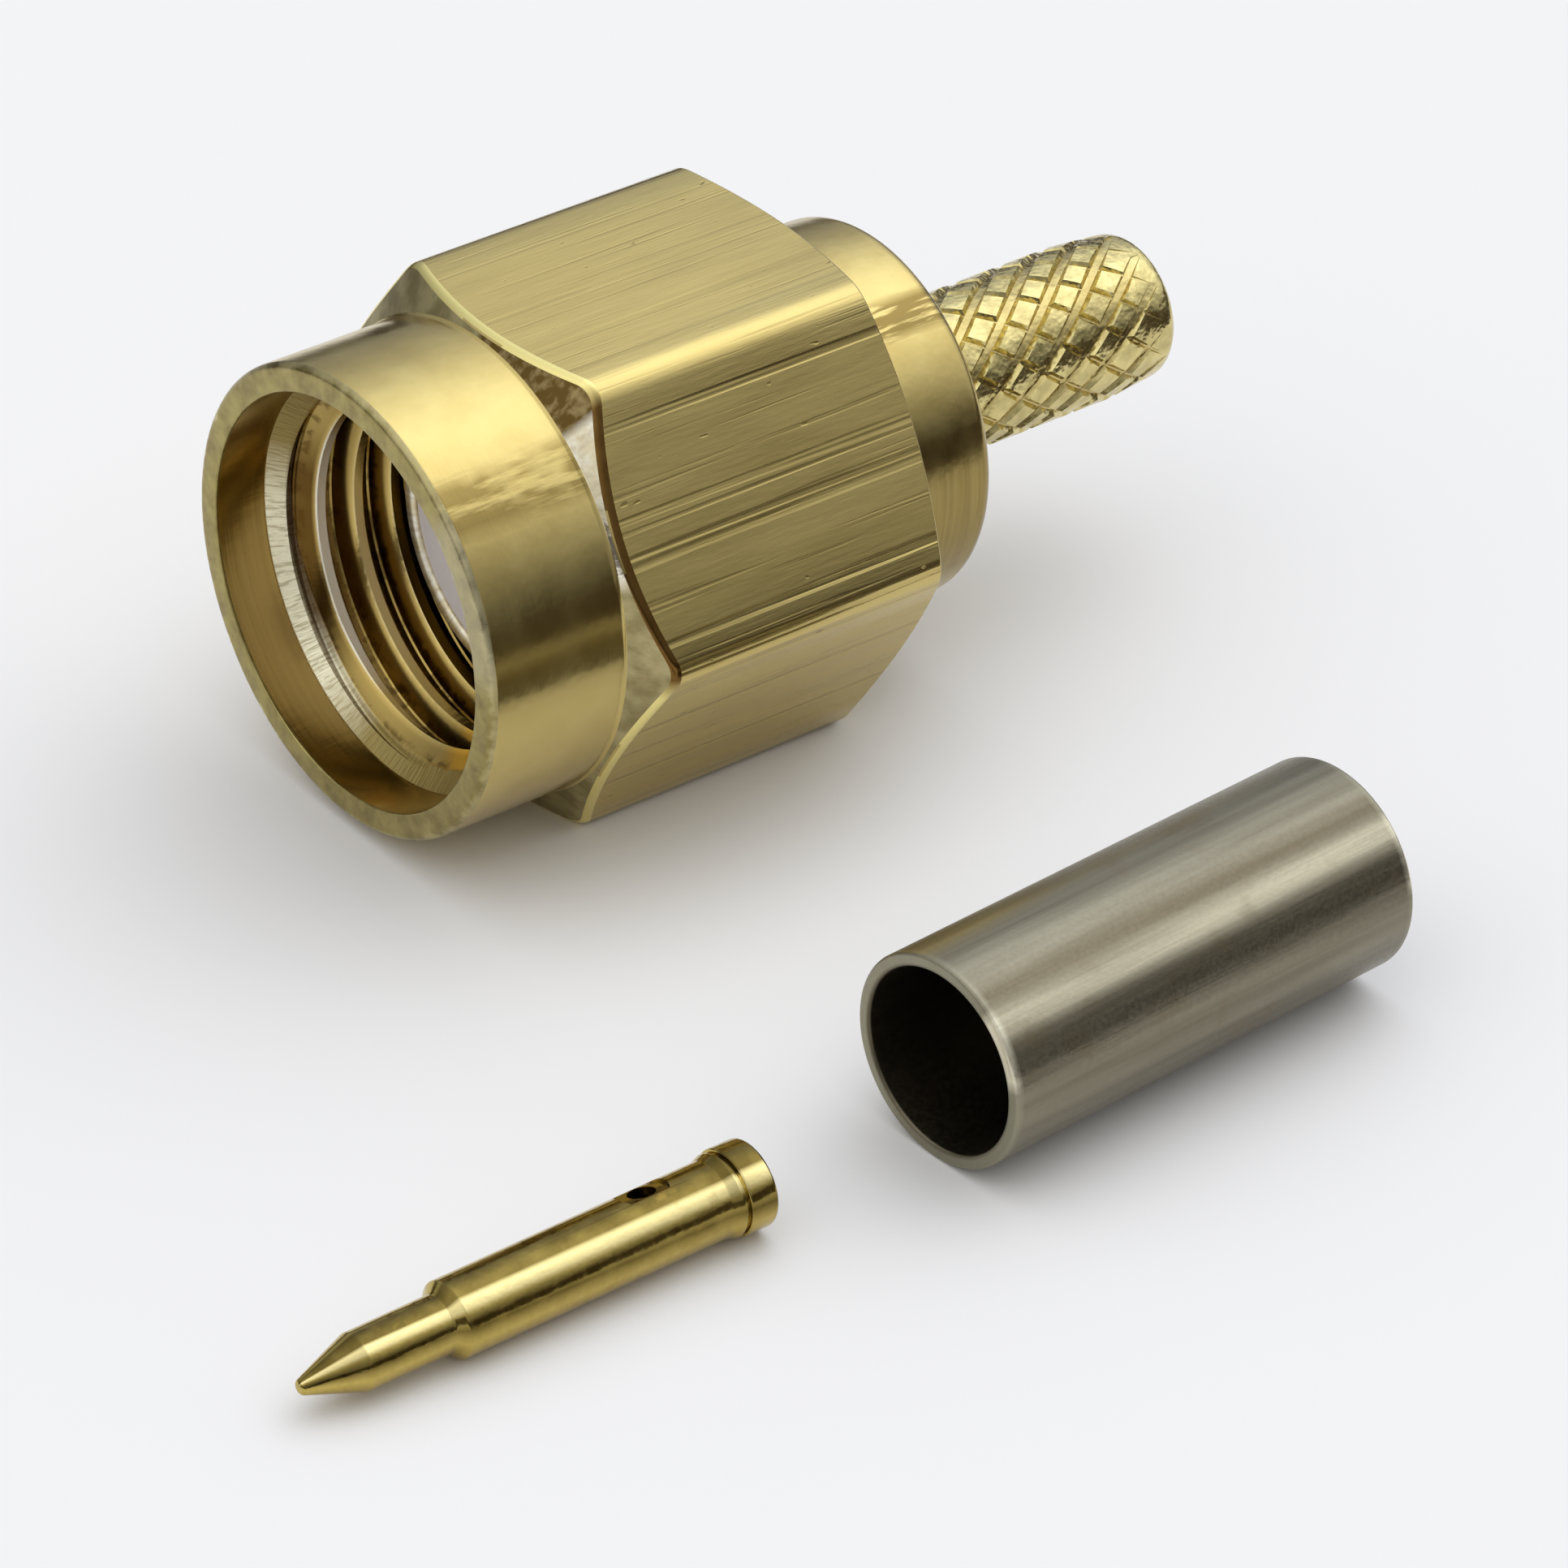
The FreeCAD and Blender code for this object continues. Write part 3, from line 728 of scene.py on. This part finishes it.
def drawn_gold():
    """Hexagon flats: the drawn bar's long lines under satin gold."""
    finish = Finish("drawn_gold")
    haze = finish.noise(finish.stretched(0.35, 2.5))
    grain = finish.noise(finish.stretched(1.6, 14.0), detail=4.0)
    worn_top = finish.remap(finish.facing(0, 34), 0.0, 0.3, 1.0, 0.22)
    lines = finish.remap(finish.noise(finish.stretched(0.04, 3.4), detail=2.0), 0.58, 0.66)
    lines = finish.times(lines, worn_top)
    fine = finish.remap(finish.noise(finish.stretched(0.16, 9.0), detail=2.0), 0.6, 0.7)
    pits = finish.remap(finish.noise(finish.stretched(3.0, 6.0), detail=1.0), 0.74, 0.8)
    colour = finish.blend(finish.remap(haze, 0.35, 0.7), darker(GOLD, 0.9, 0.98), GOLD)
    colour = finish.over(colour, darker(GOLD, 0.45, 0.93), 0.34, lines)
    colour = finish.over(colour, darker(GOLD, 0.5, 0.93), 0.26, fine)
    colour = finish.over(colour, darker(GOLD, 0.4, 0.9), 0.6, pits)
    # Painted shade: the lower flats on the -Y side are darkened.
    colour = finish.over(colour, darker(GOLD, 0.62, 0.96), 0.35, finish.facing(125, 40))
    corner = finish.remap(finish.off_axis(), 4.26, 4.4)
    satin = finish.remap(haze, 0.3, 0.7, 0.33, 0.42)
    finish.metal(colour, finish.maths("MULTIPLY_ADD", corner, -0.18, satin))
    finish.relief(lines, -0.01)
    finish.relief(fine, -0.003)
    finish.relief(grain, 0.0035)
    finish.relief(pits, -0.006)
    return finish.material


def turned_gold():
    """Nose and rear of the nut: fine turning marks round the axis, a streaked band along it that is a
    painted dark reflection, and painted shade on the -Y side.
    """
    finish = Finish("turned_gold")
    marks = finish.noise(finish.stretched(22.0, 0.2))
    haze = finish.noise(finish.stretched(1.3, 1.1))
    streaks = finish.remap(finish.noise(finish.around(0.7, 16.0)), 0.34, 0.5)
    patches = finish.remap(finish.noise(finish.around(0.9, 3.0), detail=2.0), 0.27, 0.42)
    # Painted dark reflection: a streaked band high on the -Y side.
    band = finish.times(finish.remap(finish.facing(41, 9), 0.0, 0.5), streaks, patches)
    colour = finish.blend(finish.remap(haze, 0.35, 0.7), darker(GOLD, 0.9, 0.97), GOLD)
    colour = finish.over(colour, darker(GOLD, 0.42, 0.88), 0.85, band)
    # Painted shade: darker round the -Y side, near the horizontal.
    colour = finish.over(colour, darker(GOLD, 0.62, 0.97), 0.5, finish.facing(92, 20))
    finish.metal(colour, finish.remap(haze, 0.3, 0.7, 0.15, 0.24))
    finish.relief(marks, 0.002)
    finish.relief(haze, 0.012)
    finish.relief(band, -0.003)
    return finish.material


def worn_highlit_gold():
    """Lip of the nose: dull, with a worn outer edge that carries a painted highlight on its lower +Y
    side, and a painted highlight on its upper inner side.
    """
    finish = Finish("worn_highlit_gold")
    mottle = finish.noise(finish.place, scale=3.2, detail=4.0)
    radius = finish.maths("ADD", finish.off_axis(), finish.remap(mottle, 0.3, 0.7, -0.07, 0.07))
    # Painted highlight along the worn outer edge, on the lower +Y side only.
    lower_rim = finish.remap(finish.facing(-112, 60), 0.0, 0.4, 0.15, 1.0)
    rubbed_and_highlit = finish.remap(radius, 3.74, 3.81)
    inner_side = finish.remap(radius, 3.3, 3.42, 1.0, 0.2)
    # Painted highlight: a bright patch on the inner part of the lip, upper -Y side.
    upper_side = finish.remap(finish.facing(62, 24), 0.0, 0.3)
    colour = finish.blend(
        finish.remap(mottle, 0.35, 0.65), (0.27, 0.215, 0.08, 1), (0.42, 0.35, 0.13, 1))
    colour = finish.over(colour, (0.95, 0.92, 0.78, 1), 0.8, upper_side, inner_side)
    colour = finish.over(colour, (0.95, 0.88, 0.6, 1), 0.9, rubbed_and_highlit, lower_rim)
    finish.metal(colour, finish.remap(mottle, 0.3, 0.7, 0.25, 0.4))
    finish.relief(mottle, 0.014)
    return finish.material


def chamfer_gold():
    """Front chamfer and the sleeve's rim: a painted highlight on the rim and on the chamfer's lit side,
    dull patches elsewhere, a painted dark brown reflection high on the chamfer, and brown spots.
    """
    finish = Finish("chamfer_gold")
    mottle = finish.noise(finish.around(3.0, 9.0), detail=4.0)
    patches = finish.remap(mottle, 0.4, 0.6)
    spots = finish.remap(finish.noise(finish.around(8.0, 26.0), detail=2.0), 0.45, 0.7)
    # Painted highlight colours.
    bright = finish.blend(patches, (0.85, 0.76, 0.52, 1), (1.0, 0.95, 0.8, 1))
    dull = finish.blend(patches, (0.27, 0.225, 0.1, 1), (0.44, 0.38, 0.19, 1))
    # Painted dark reflection, tinted brown.
    dark_reflection_brown = finish.blend(spots, (0.13, 0.082, 0.022, 1), (0.26, 0.19, 0.07, 1))
    sleeve = finish.remap(finish.off_axis(), 2.45, 2.6, 1.0, 0.0)
    chamfer = finish.remap(sleeve, 0.0, 1.0, 1.0, 0.0)
    lit_side = finish.remap(finish.facing(50, 30), 0.25, 0.4)
    # Painted highlight on the chamfer's lit -Y side and all over the sleeve's rim.
    colour = finish.blend(finish.maths("MAXIMUM", lit_side, sleeve), dull, bright)
    # Painted dark reflection high on the chamfer's -Y side.
    upper_side = finish.remap(finish.facing(17, 22), 0.16, 0.28)
    colour = finish.over(colour, dark_reflection_brown, 1.0, upper_side, chamfer)
    colour = finish.over(colour, (0.4, 0.3, 0.16, 1), 0.35, spots)
    finish.metal(colour, finish.remap(finish.facing(56, 44), 0.0, 0.4, 0.42, 0.14))
    finish.relief(mottle, 0.009)
    return finish.material


def edge_gold():
    """Rounded front ends of the flats: a painted dark brown reflection high on the -Y side, bright
    elsewhere.
    """
    finish = Finish("edge_gold")
    mottle = finish.noise(finish.place, scale=4.0)
    dark_reflection_brown = finish.blend(mottle, (0.12, 0.06, 0.012, 1), (0.24, 0.135, 0.04, 1))
    # Painted dark reflection where the ends face high towards -Y.
    side = finish.remap(finish.facing(62, 36), 0.05, 0.2)
    finish.metal(finish.blend(side, (0.88, 0.76, 0.3, 1), dark_reflection_brown), 0.2)
    return finish.material


def bore_gold():
    """Inside of the nose: mirror-like wall, rough cone with a painted highlight, and thread with a
    painted highlight on its first crest and painted shade in its roots.
    """
    finish = Finish("bore_gold")
    along = finish.along()
    radius = finish.off_axis()
    chatter = finish.noise(finish.around(4.0, 70.0))
    broad_chatter = finish.noise(finish.around(0.8, 24.0), detail=2.0)
    patches = finish.remap(finish.noise(finish.around(0.5, 2.2), detail=2.0), 0.3, 0.5, 0.5, 1.0)
    turning = finish.noise(finish.stretched(9.0, 0.2), detail=2.0)
    shade_patches = finish.remap(finish.noise(finish.place, scale=3.6), 0.5, 0.58)
    deep = finish.remap(radius, 2.98, 3.04)
    cone = finish.times(finish.between(along, -3.28, -2.9, 0.015), finish.remap(radius, 3.06, 3.1))
    root = finish.times(finish.remap(along, -3.06, -3.0), finish.remap(radius, 2.83, 2.9))
    crest = finish.times(finish.remap(along, -2.86, -2.8), finish.remap(radius, 2.83, 2.85, 1.0, 0.0))
    first_turn = finish.remap(along, -2.35, -2.15, 1.0, 0.1)
    first_crest = finish.times(finish.remap(finish.facing(-106, 62), 0.1, 0.4), first_turn)
    far_side = finish.remap(finish.facing(-106, 44), 0.0, 0.5)
    wall = darker(GOLD, 1.0, 0.91)
    colour = finish.over(wall, darker(GOLD, 0.6, 0.88), 0.2, finish.remap(turning, 0.45, 0.6))
    # Painted shade in the thread's roots.
    colour = finish.over(colour, darker(GOLD, 0.62, 0.88), 0.85, root)
    # Painted shade in noisy patches deep in the roots.
    colour = finish.over(colour, (0.08, 0.045, 0.012, 1), 0.6, root, shade_patches, deep)
    # Painted highlight on the cone's lower +Y side.
    rough_cone = finish.blend(
        finish.remap(finish.facing(-120, 48), 0.0, 0.5), darker(GOLD, 0.55, 0.98), (1.0, 0.95, 0.7, 1))
    rough_cone = finish.over(
        rough_cone, darker(GOLD, 0.5, 0.94), 0.5, finish.remap(chatter, 0.5, 0.62))
    colour = finish.blend(cone, colour, rough_cone)
    # Painted shade in the first root, on the far +Y side.
    colour = finish.over(colour, (0.1, 0.048, 0.008, 1), 0.9, root, far_side, first_turn, patches)
    # Painted highlight on the first crest's far +Y side.
    bright_crest = finish.blend(first_crest, darker(GOLD, 0.95, 0.96), (1.0, 0.97, 0.82, 1))
    colour = finish.over(colour, bright_crest, 0.85, crest)
    matt = finish.maths("MAXIMUM", cone, finish.times(crest, first_crest))
    finish.metal(colour, finish.remap(matt, 0.0, 1.0, 0.18, 0.42))
    finish.relief(turning, 0.0012)
    finish.relief(broad_chatter, 0.0015)
    finish.relief(finish.times(cone, chatter), 0.016)
    return finish.material


def collar_gold():
    """Collar and the rest of the turned body: a streaked band above and a dark one at the side, both
    painted dark reflections.
    """
    finish = Finish("collar_gold")
    marks = finish.noise(finish.stretched(26.0, 0.25))
    haze = finish.noise(finish.place, scale=1.6)
    streaks = finish.remap(finish.noise(finish.around(1.0, 26.0)), 0.4, 0.52)
    rings = finish.remap(finish.noise(finish.stretched(7.0, 0.3)), 0.3, 0.6, 0.7, 1.0)
    # Painted dark reflection: a streaked band high on the -Y side.
    upper = finish.times(finish.remap(finish.facing(31, 8), 0.0, 0.5), streaks)
    # Painted dark reflection low on the -Y side.
    lower = finish.times(finish.remap(finish.facing(97, 38), 0.0, 0.5), rings)
    colour = finish.blend(finish.remap(haze, 0.3, 0.7), darker(GOLD, 0.88, 0.96), GOLD)
    colour = finish.over(colour, darker(GOLD, 0.34, 0.86), 0.9, upper)
    colour = finish.over(colour, darker(GOLD, 0.36, 0.9), 0.85, lower)
    finish.metal(colour, finish.remap(haze, 0.3, 0.7, 0.17, 0.26))
    finish.relief(marks, 0.002)
    finish.relief(haze, 0.01)
    finish.relief(upper, -0.003)
    return finish.material


def knurled_gold():
    """Crimp stem: bright, with its small faces dented and painted shade in its grooves."""
    finish = Finish("knurled_gold")
    dents = finish.noise(finish.place, scale=3.6, detail=2.0)
    grain = finish.noise(finish.place, scale=14.0, detail=2.0)
    sunk = finish.remap(finish.off_axis(), STEM_RADIUS - 0.085, STEM_RADIUS - 0.03, 1.0, 0.0)
    knurled = finish.between(finish.along(), KNURL_FRONT, KNURL_REAR, 0.1)
    colour = finish.blend(
        finish.remap(dents, 0.35, 0.65), (0.54, 0.45, 0.19, 1), (0.73, 0.62, 0.27, 1))
    # Painted shade in the knurl's grooves.
    colour = finish.over(colour, darker(GOLD, 0.6, 0.86), 0.4, sunk, knurled)
    finish.metal(colour, finish.remap(grain, 0.3, 0.7, 0.14, 0.26))
    finish.relief(dents, 0.035)
    finish.relief(grain, 0.004)
    return finish.material


def contact_gold():
    """Centre contact: thicker yellow gold, softly rippled, with a painted highlight band between bands of
    painted shade.
    """
    finish = Finish("contact_gold", (CONTACT_SHOULDER[0], CONTACT_SHOULDER[1], SOLDER_RADIUS))
    ripple = finish.noise(finish.stretched(1.3, 1.8), scale=1.3)
    grain = finish.noise(finish.stretched(10.0, 6.0), detail=2.0)
    stain = finish.remap(finish.noise(finish.place, scale=2.2), 0.6, 0.72)
    top_band = finish.remap(finish.facing(8, 25), 0.0, 0.3)
    # Painted shade: darker bands on top and low on the -Y side.
    painted_shade_bands = finish.times(
        finish.maths("MAXIMUM", top_band, finish.facing(73, 22)),
        finish.remap(ripple, 0.3, 0.6, 0.75, 0.95))
    # Painted highlight band high on the -Y side.
    bright_band = finish.remap(finish.facing(37, 14), 0.0, 0.6)
    colour = finish.blend(finish.remap(grain, 0.3, 0.7), darker(CONTACT_GOLD, 0.9, 0.97), CONTACT_GOLD)
    colour = finish.blend(painted_shade_bands, colour, darker(CONTACT_GOLD, 0.2, 0.92))
    colour = finish.blend(bright_band, colour, (0.86, 0.73, 0.33, 1))
    colour = finish.over(colour, darker(CONTACT_GOLD, 0.6, 0.88), 0.5, stain)
    finish.metal(colour, finish.remap(grain, 0.3, 0.7, 0.12, 0.2))
    finish.relief(ripple, 0.011)
    finish.relief(grain, 0.002)
    return finish.material


def ferrule_nickel():
    """Crimp ferrule: satin nickel with long bands, a painted highlight streak and a painted dark
    reflection along it, brown stains, worn ends with a painted highlight, and painted shade in the bore.
    """
    finish = Finish("satin_nickel", FERRULE_PLACE, FERRULE_TURN)
    bands = finish.noise(finish.around(0.12, 5.0))
    grain = finish.noise(finish.stretched(14.0, 14.0), detail=2.0)
    stain = finish.remap(finish.noise(finish.place, scale=0.9, detail=4.0), 0.56, 0.7)
    length = finish.between(finish.along(), 0.1, FERRULE_LENGTH - 0.1, 0.05)
    ends = finish.maths("SUBTRACT", 1.0, length)
    inside = finish.remap(finish.off_axis(), FERRULE_BORE + 0.02, FERRULE_BORE + 0.08, 1.0, 0.0)
    # Painted highlight: a bright streak high on the -Y side.
    streak = finish.times(
        finish.remap(finish.facing(43, 12), 0.0, 0.8), finish.remap(bands, 0.3, 0.6, 0.5, 1.0))
    # Worn ends, with a painted highlight on their -Y side.
    rubbed_and_highlit = finish.blend(
        finish.remap(finish.facing(56, 26), 0.1, 0.4), (0.3, 0.28, 0.2, 1), (0.85, 0.8, 0.62, 1))
    colour = finish.blend(finish.remap(bands, 0.35, 0.65), darker(NICKEL, 0.72, 0.98), NICKEL)
    colour = finish.blend(streak, colour, (0.6, 0.55, 0.4, 1))
    # Painted dark reflection: a narrow dark band near the top, on the -Y side.
    colour = finish.over(colour, (0.13, 0.105, 0.06, 1), 0.7, finish.facing(28, 11))
    colour = finish.over(colour, (0.2, 0.14, 0.075, 1), 0.35, stain)
    colour = finish.over(colour, rubbed_and_highlit, 0.85, ends)
    # Painted shade in the bore.
    colour = finish.over(colour, (0.08, 0.06, 0.035, 1), 0.7, inside)
    finish.metal(colour, finish.remap(grain, 0.3, 0.7, 0.32, 0.42))
    finish.relief(bands, 0.012)
    finish.relief(grain, 0.002)
    return finish.material


def ptfe_white():
    """Insulator: milky white, faintly mottled."""
    finish = Finish("ptfe_white")
    mottle = finish.noise(finish.place, scale=3.0)
    finish.set("Base Color", finish.blend(mottle, (0.8, 0.73, 0.72, 1), (0.88, 0.83, 0.82, 1)))
    finish.set("Roughness", 0.45)
    finish.set("Subsurface Weight", 0.2)
    finish.set("Subsurface Radius", to_metres(0.3, 0.25, 0.22))
    finish.relief(mottle, 0.01)
    return finish.material


def spring_brass():
    """Retaining ring: plain brass wire with drawn marks."""
    finish = Finish("spring_brass")
    marks = finish.noise(finish.stretched(20.0, 0.5))
    colour = finish.blend(marks, darker(GOLD, 0.7, 0.9), darker(GOLD, 0.85, 0.94))
    finish.metal(colour, finish.remap(marks, 0.3, 0.7, 0.3, 0.4))
    return finish.material


# Dressing: each list of finishes is in the order of its face numbers

FLATS, TURNED, LIP, CHAMFER, BORE, EDGE = range(6)
COLLAR, RIM, STEM = range(3)


def dress(piece, finishes, node, body):
    """Gives a piece its finishes and body, and hides the CAD node that it stands for."""
    piece.data.materials.clear()
    for finish in finishes:
        piece.data.materials.append(finish)
    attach(piece, body)
    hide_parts(node)


def finish_nut_faces(nut):
    """Drawn flats, turned nose and rear, worn lip with painted highlights, front chamfer with its edges,
    and the bore.
    """
    lip = (NUT_FRONT + 0.11) * MM
    bore_end = 0.5 * MM
    near_flats = (ACROSS_FLATS / 2 - 0.04) * MM
    chamfer_front = (NUT_FRONT + NOSE_LENGTH - 0.05) * MM
    chamfer_rear = chamfer_front + 0.75 * MM
    for face in nut.data.polygons:
        place = face.center
        off_axis = math.hypot(place.y, place.z - AXIS_HEIGHT * MM)
        outward = face.normal.y * place.y + face.normal.z * (place.z - AXIS_HEIGHT * MM)
        at_chamfer = chamfer_front < place.x < chamfer_rear
        if place.x < lip:
            face.material_index = LIP
        elif off_axis <= (NOSE_RADIUS - 0.2) * MM:
            face.material_index = BORE if place.x < bore_end else TURNED
        elif at_chamfer and face.normal.x < -0.8:
            face.material_index = CHAMFER
        elif at_chamfer and off_axis > near_flats and face.normal.x < -0.12:
            face.material_index = EDGE
        elif off_axis > (NOSE_RADIUS + 0.05) * MM and abs(face.normal.x) < 0.25 and outward > 0:
            face.material_index = FLATS
        else:
            face.material_index = TURNED


def finish_body_faces(body):
    """Sleeve rim with its painted highlight, turned collar, and knurled stem."""
    for face in body.data.polygons:
        off_axis = math.hypot(face.center.y, face.center.z - AXIS_HEIGHT * MM)
        if face.center.x < (REFERENCE_PLANE + 0.1) * MM:
            face.material_index = RIM
        elif face.center.x > (COLLAR_REAR + 0.1) * MM and off_axis > (STEM_BORE - 0.1) * MM:
            face.material_index = STEM
        else:
            face.material_index = COLLAR


# Floor, light and camera

FLOOR_WIDTH = 1200.0
SCREENS_MIDDLE = -4.0
DARK_RING_RADIUS = 50.0
DARK_RING_HEIGHT = 9.0
DARK_CARD_AZIMUTH = math.radians(32)
DARK_CARD_DISTANCE = 22.0
DARK_CARD_WIDTH = 60.0
DARK_CARD_HEIGHT = 5.6
DOME_STRENGTH = 0.26

IMAGE_SIZE = 1932
FOCAL_PIXELS = 10406.6
SENSOR = 36.0
CAMERA_AZIMUTH = math.radians(-39.4176)
CAMERA_ELEVATION = math.radians(34.0917)
CAMERA_ROLL = math.radians(2.4347)
CAMERA_TARGET = (0.264, -5.299, 1.906)
CAMERA_DISTANCE = 128.43


def dull_material(name, colour, specular=0.5):
    """One plain colour without gloss."""
    material = bpy.data.materials.new(name)
    material.use_nodes = True
    shader = material.node_tree.nodes["Principled BSDF"]
    shader.inputs["Base Color"].default_value = colour
    shader.inputs["Roughness"].default_value = 0.9
    shader.inputs["Specular IOR Level"].default_value = specular
    return material


def pale_floor():
    deselect_all()
    bpy.ops.mesh.primitive_plane_add(size=FLOOR_WIDTH * MM, location=(0, 0, 0))
    floor = bpy.context.object
    floor.name = "floor"
    floor.data.materials.append(dull_material("pale_floor", (0.9, 0.885, 0.865, 1), 0.1))


def dark_screen(screen, name):
    """Makes a dark screen that only the metal's reflections see."""
    screen.name = name
    screen.data.materials.append(dull_material(name, (0.07, 0.052, 0.035, 1)))
    screen.visible_camera = False
    screen.visible_diffuse = False
    screen.visible_shadow = False


def low_screens():
    """A low dark ring far round the pieces, and a low dark card before them on the stem's side."""
    deselect_all()
    bpy.ops.mesh.primitive_cylinder_add(
        vertices=SMALL_SEGMENTS, radius=DARK_RING_RADIUS * MM, depth=DARK_RING_HEIGHT * MM,
        end_fill_type="NOTHING", location=to_metres(0, SCREENS_MIDDLE, DARK_RING_HEIGHT / 2))
    dark_screen(bpy.context.object, "dark_ring")
    deselect_all()
    aside = DARK_CARD_DISTANCE * math.sin(DARK_CARD_AZIMUTH)
    ahead = DARK_CARD_DISTANCE * math.cos(DARK_CARD_AZIMUTH)
    bpy.ops.mesh.primitive_plane_add(
        size=MM, rotation=(math.pi / 2, 0, DARK_CARD_AZIMUTH),
        location=to_metres(aside, SCREENS_MIDDLE - ahead, DARK_CARD_HEIGHT / 2))
    card = bpy.context.object
    card.scale = (DARK_CARD_WIDTH, DARK_CARD_HEIGHT, 1)
    bpy.ops.object.transform_apply(location=True, rotation=True, scale=True)
    dark_screen(card, "dark_card")


def sky_direction(azimuth, elevation):
    """Unit vector; azimuth 0 points to -Y and 90 to +X."""
    turn = math.radians(azimuth)
    rise = math.radians(elevation)
    return (math.sin(turn) * math.cos(rise), -math.cos(turn) * math.cos(rise), math.sin(rise))


def studio_light():
    """A dim dome with a broad glow high on either side, a dark patch at the horizon, and a cool back."""
    world = bpy.data.worlds.new("studio")
    bpy.context.scene.world = world
    world.use_nodes = True
    sky = Graph(world.node_tree)
    background = sky.tree.nodes["Background"]
    coordinate = sky.tree.nodes.new("ShaderNodeTexCoord")

    def glow(azimuth, elevation, spread):
        """1 towards a direction, falling off softly over spread degrees."""
        toward = sky_direction(azimuth, elevation)
        cosine = sky.vector("DOT_PRODUCT", coordinate.outputs["Generated"], toward, "Value")
        share = sky.maths("DIVIDE", sky.maths("ARCCOSINE", cosine), math.radians(spread))
        return sky.maths("EXPONENT", sky.times(share, share, -0.5))

    bright = sky.maths("MULTIPLY_ADD", glow(94, 57, 28), 1.7, DOME_STRENGTH)
    bright = sky.maths("MULTIPLY_ADD", glow(-100, 45, 30), 0.9, bright)
    dark = sky.maths("MULTIPLY_ADD", glow(32, 0, 13), -0.85, 1.0)
    sky.put(background.inputs["Strength"], sky.times(bright, dark))
    sky.put(background.inputs["Color"], sky.blend(glow(140, 30, 45), (1, 1, 1, 1), (0.98, 1.03, 1.14, 1)))


def photo_camera():
    """The photo's own camera, placed by its azimuth, elevation, roll and distance from a target."""
    data = bpy.data.cameras.new("photo_camera")
    data.sensor_width = SENSOR
    data.lens = FOCAL_PIXELS * SENSOR / IMAGE_SIZE
    data.clip_start = 1 * MM
    data.clip_end = 10.0
    camera = bpy.data.objects.new("photo_camera", data)
    bpy.context.collection.objects.link(camera)
    turn = (
        Matrix.Rotation(CAMERA_AZIMUTH, 4, "Z")
        @ Matrix.Rotation(math.pi / 2 - CAMERA_ELEVATION, 4, "X")
        @ Matrix.Rotation(CAMERA_ROLL, 4, "Z"))
    target = Matrix.Translation(to_metres(*CAMERA_TARGET))
    camera.matrix_world = target @ turn @ Matrix.Translation(to_metres(0, 0, CAMERA_DISTANCE))
    bpy.context.scene.camera = camera


nut = coupling_nut()
nut_finishes = [drawn_gold(), turned_gold(), worn_highlit_gold(), chamfer_gold(), bore_gold(), edge_gold()]
dress(nut, nut_finishes, "coupling_nut", "nut")
finish_nut_faces(nut)
body = connector_body()
body_finishes = [collar_gold(), nut_finishes[CHAMFER], knurled_gold()]
dress(body, body_finishes, "connector_body", "plug_body")
finish_body_faces(body)
dress(insulator(), [ptfe_white()], "insulator", "plug_body")
dress(centre_contact(), [contact_gold()], "centre_contact", "plug_body")
dress(crimp_ferrule(), [ferrule_nickel()], "crimp_ferrule", "plug_body")
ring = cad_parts["retaining_ring"]
ring.data.materials.clear()
ring.data.materials.append(spring_brass())

pale_floor()
low_screens()
studio_light()
photo_camera()
bpy.context.scene.view_settings.view_transform = "Standard"
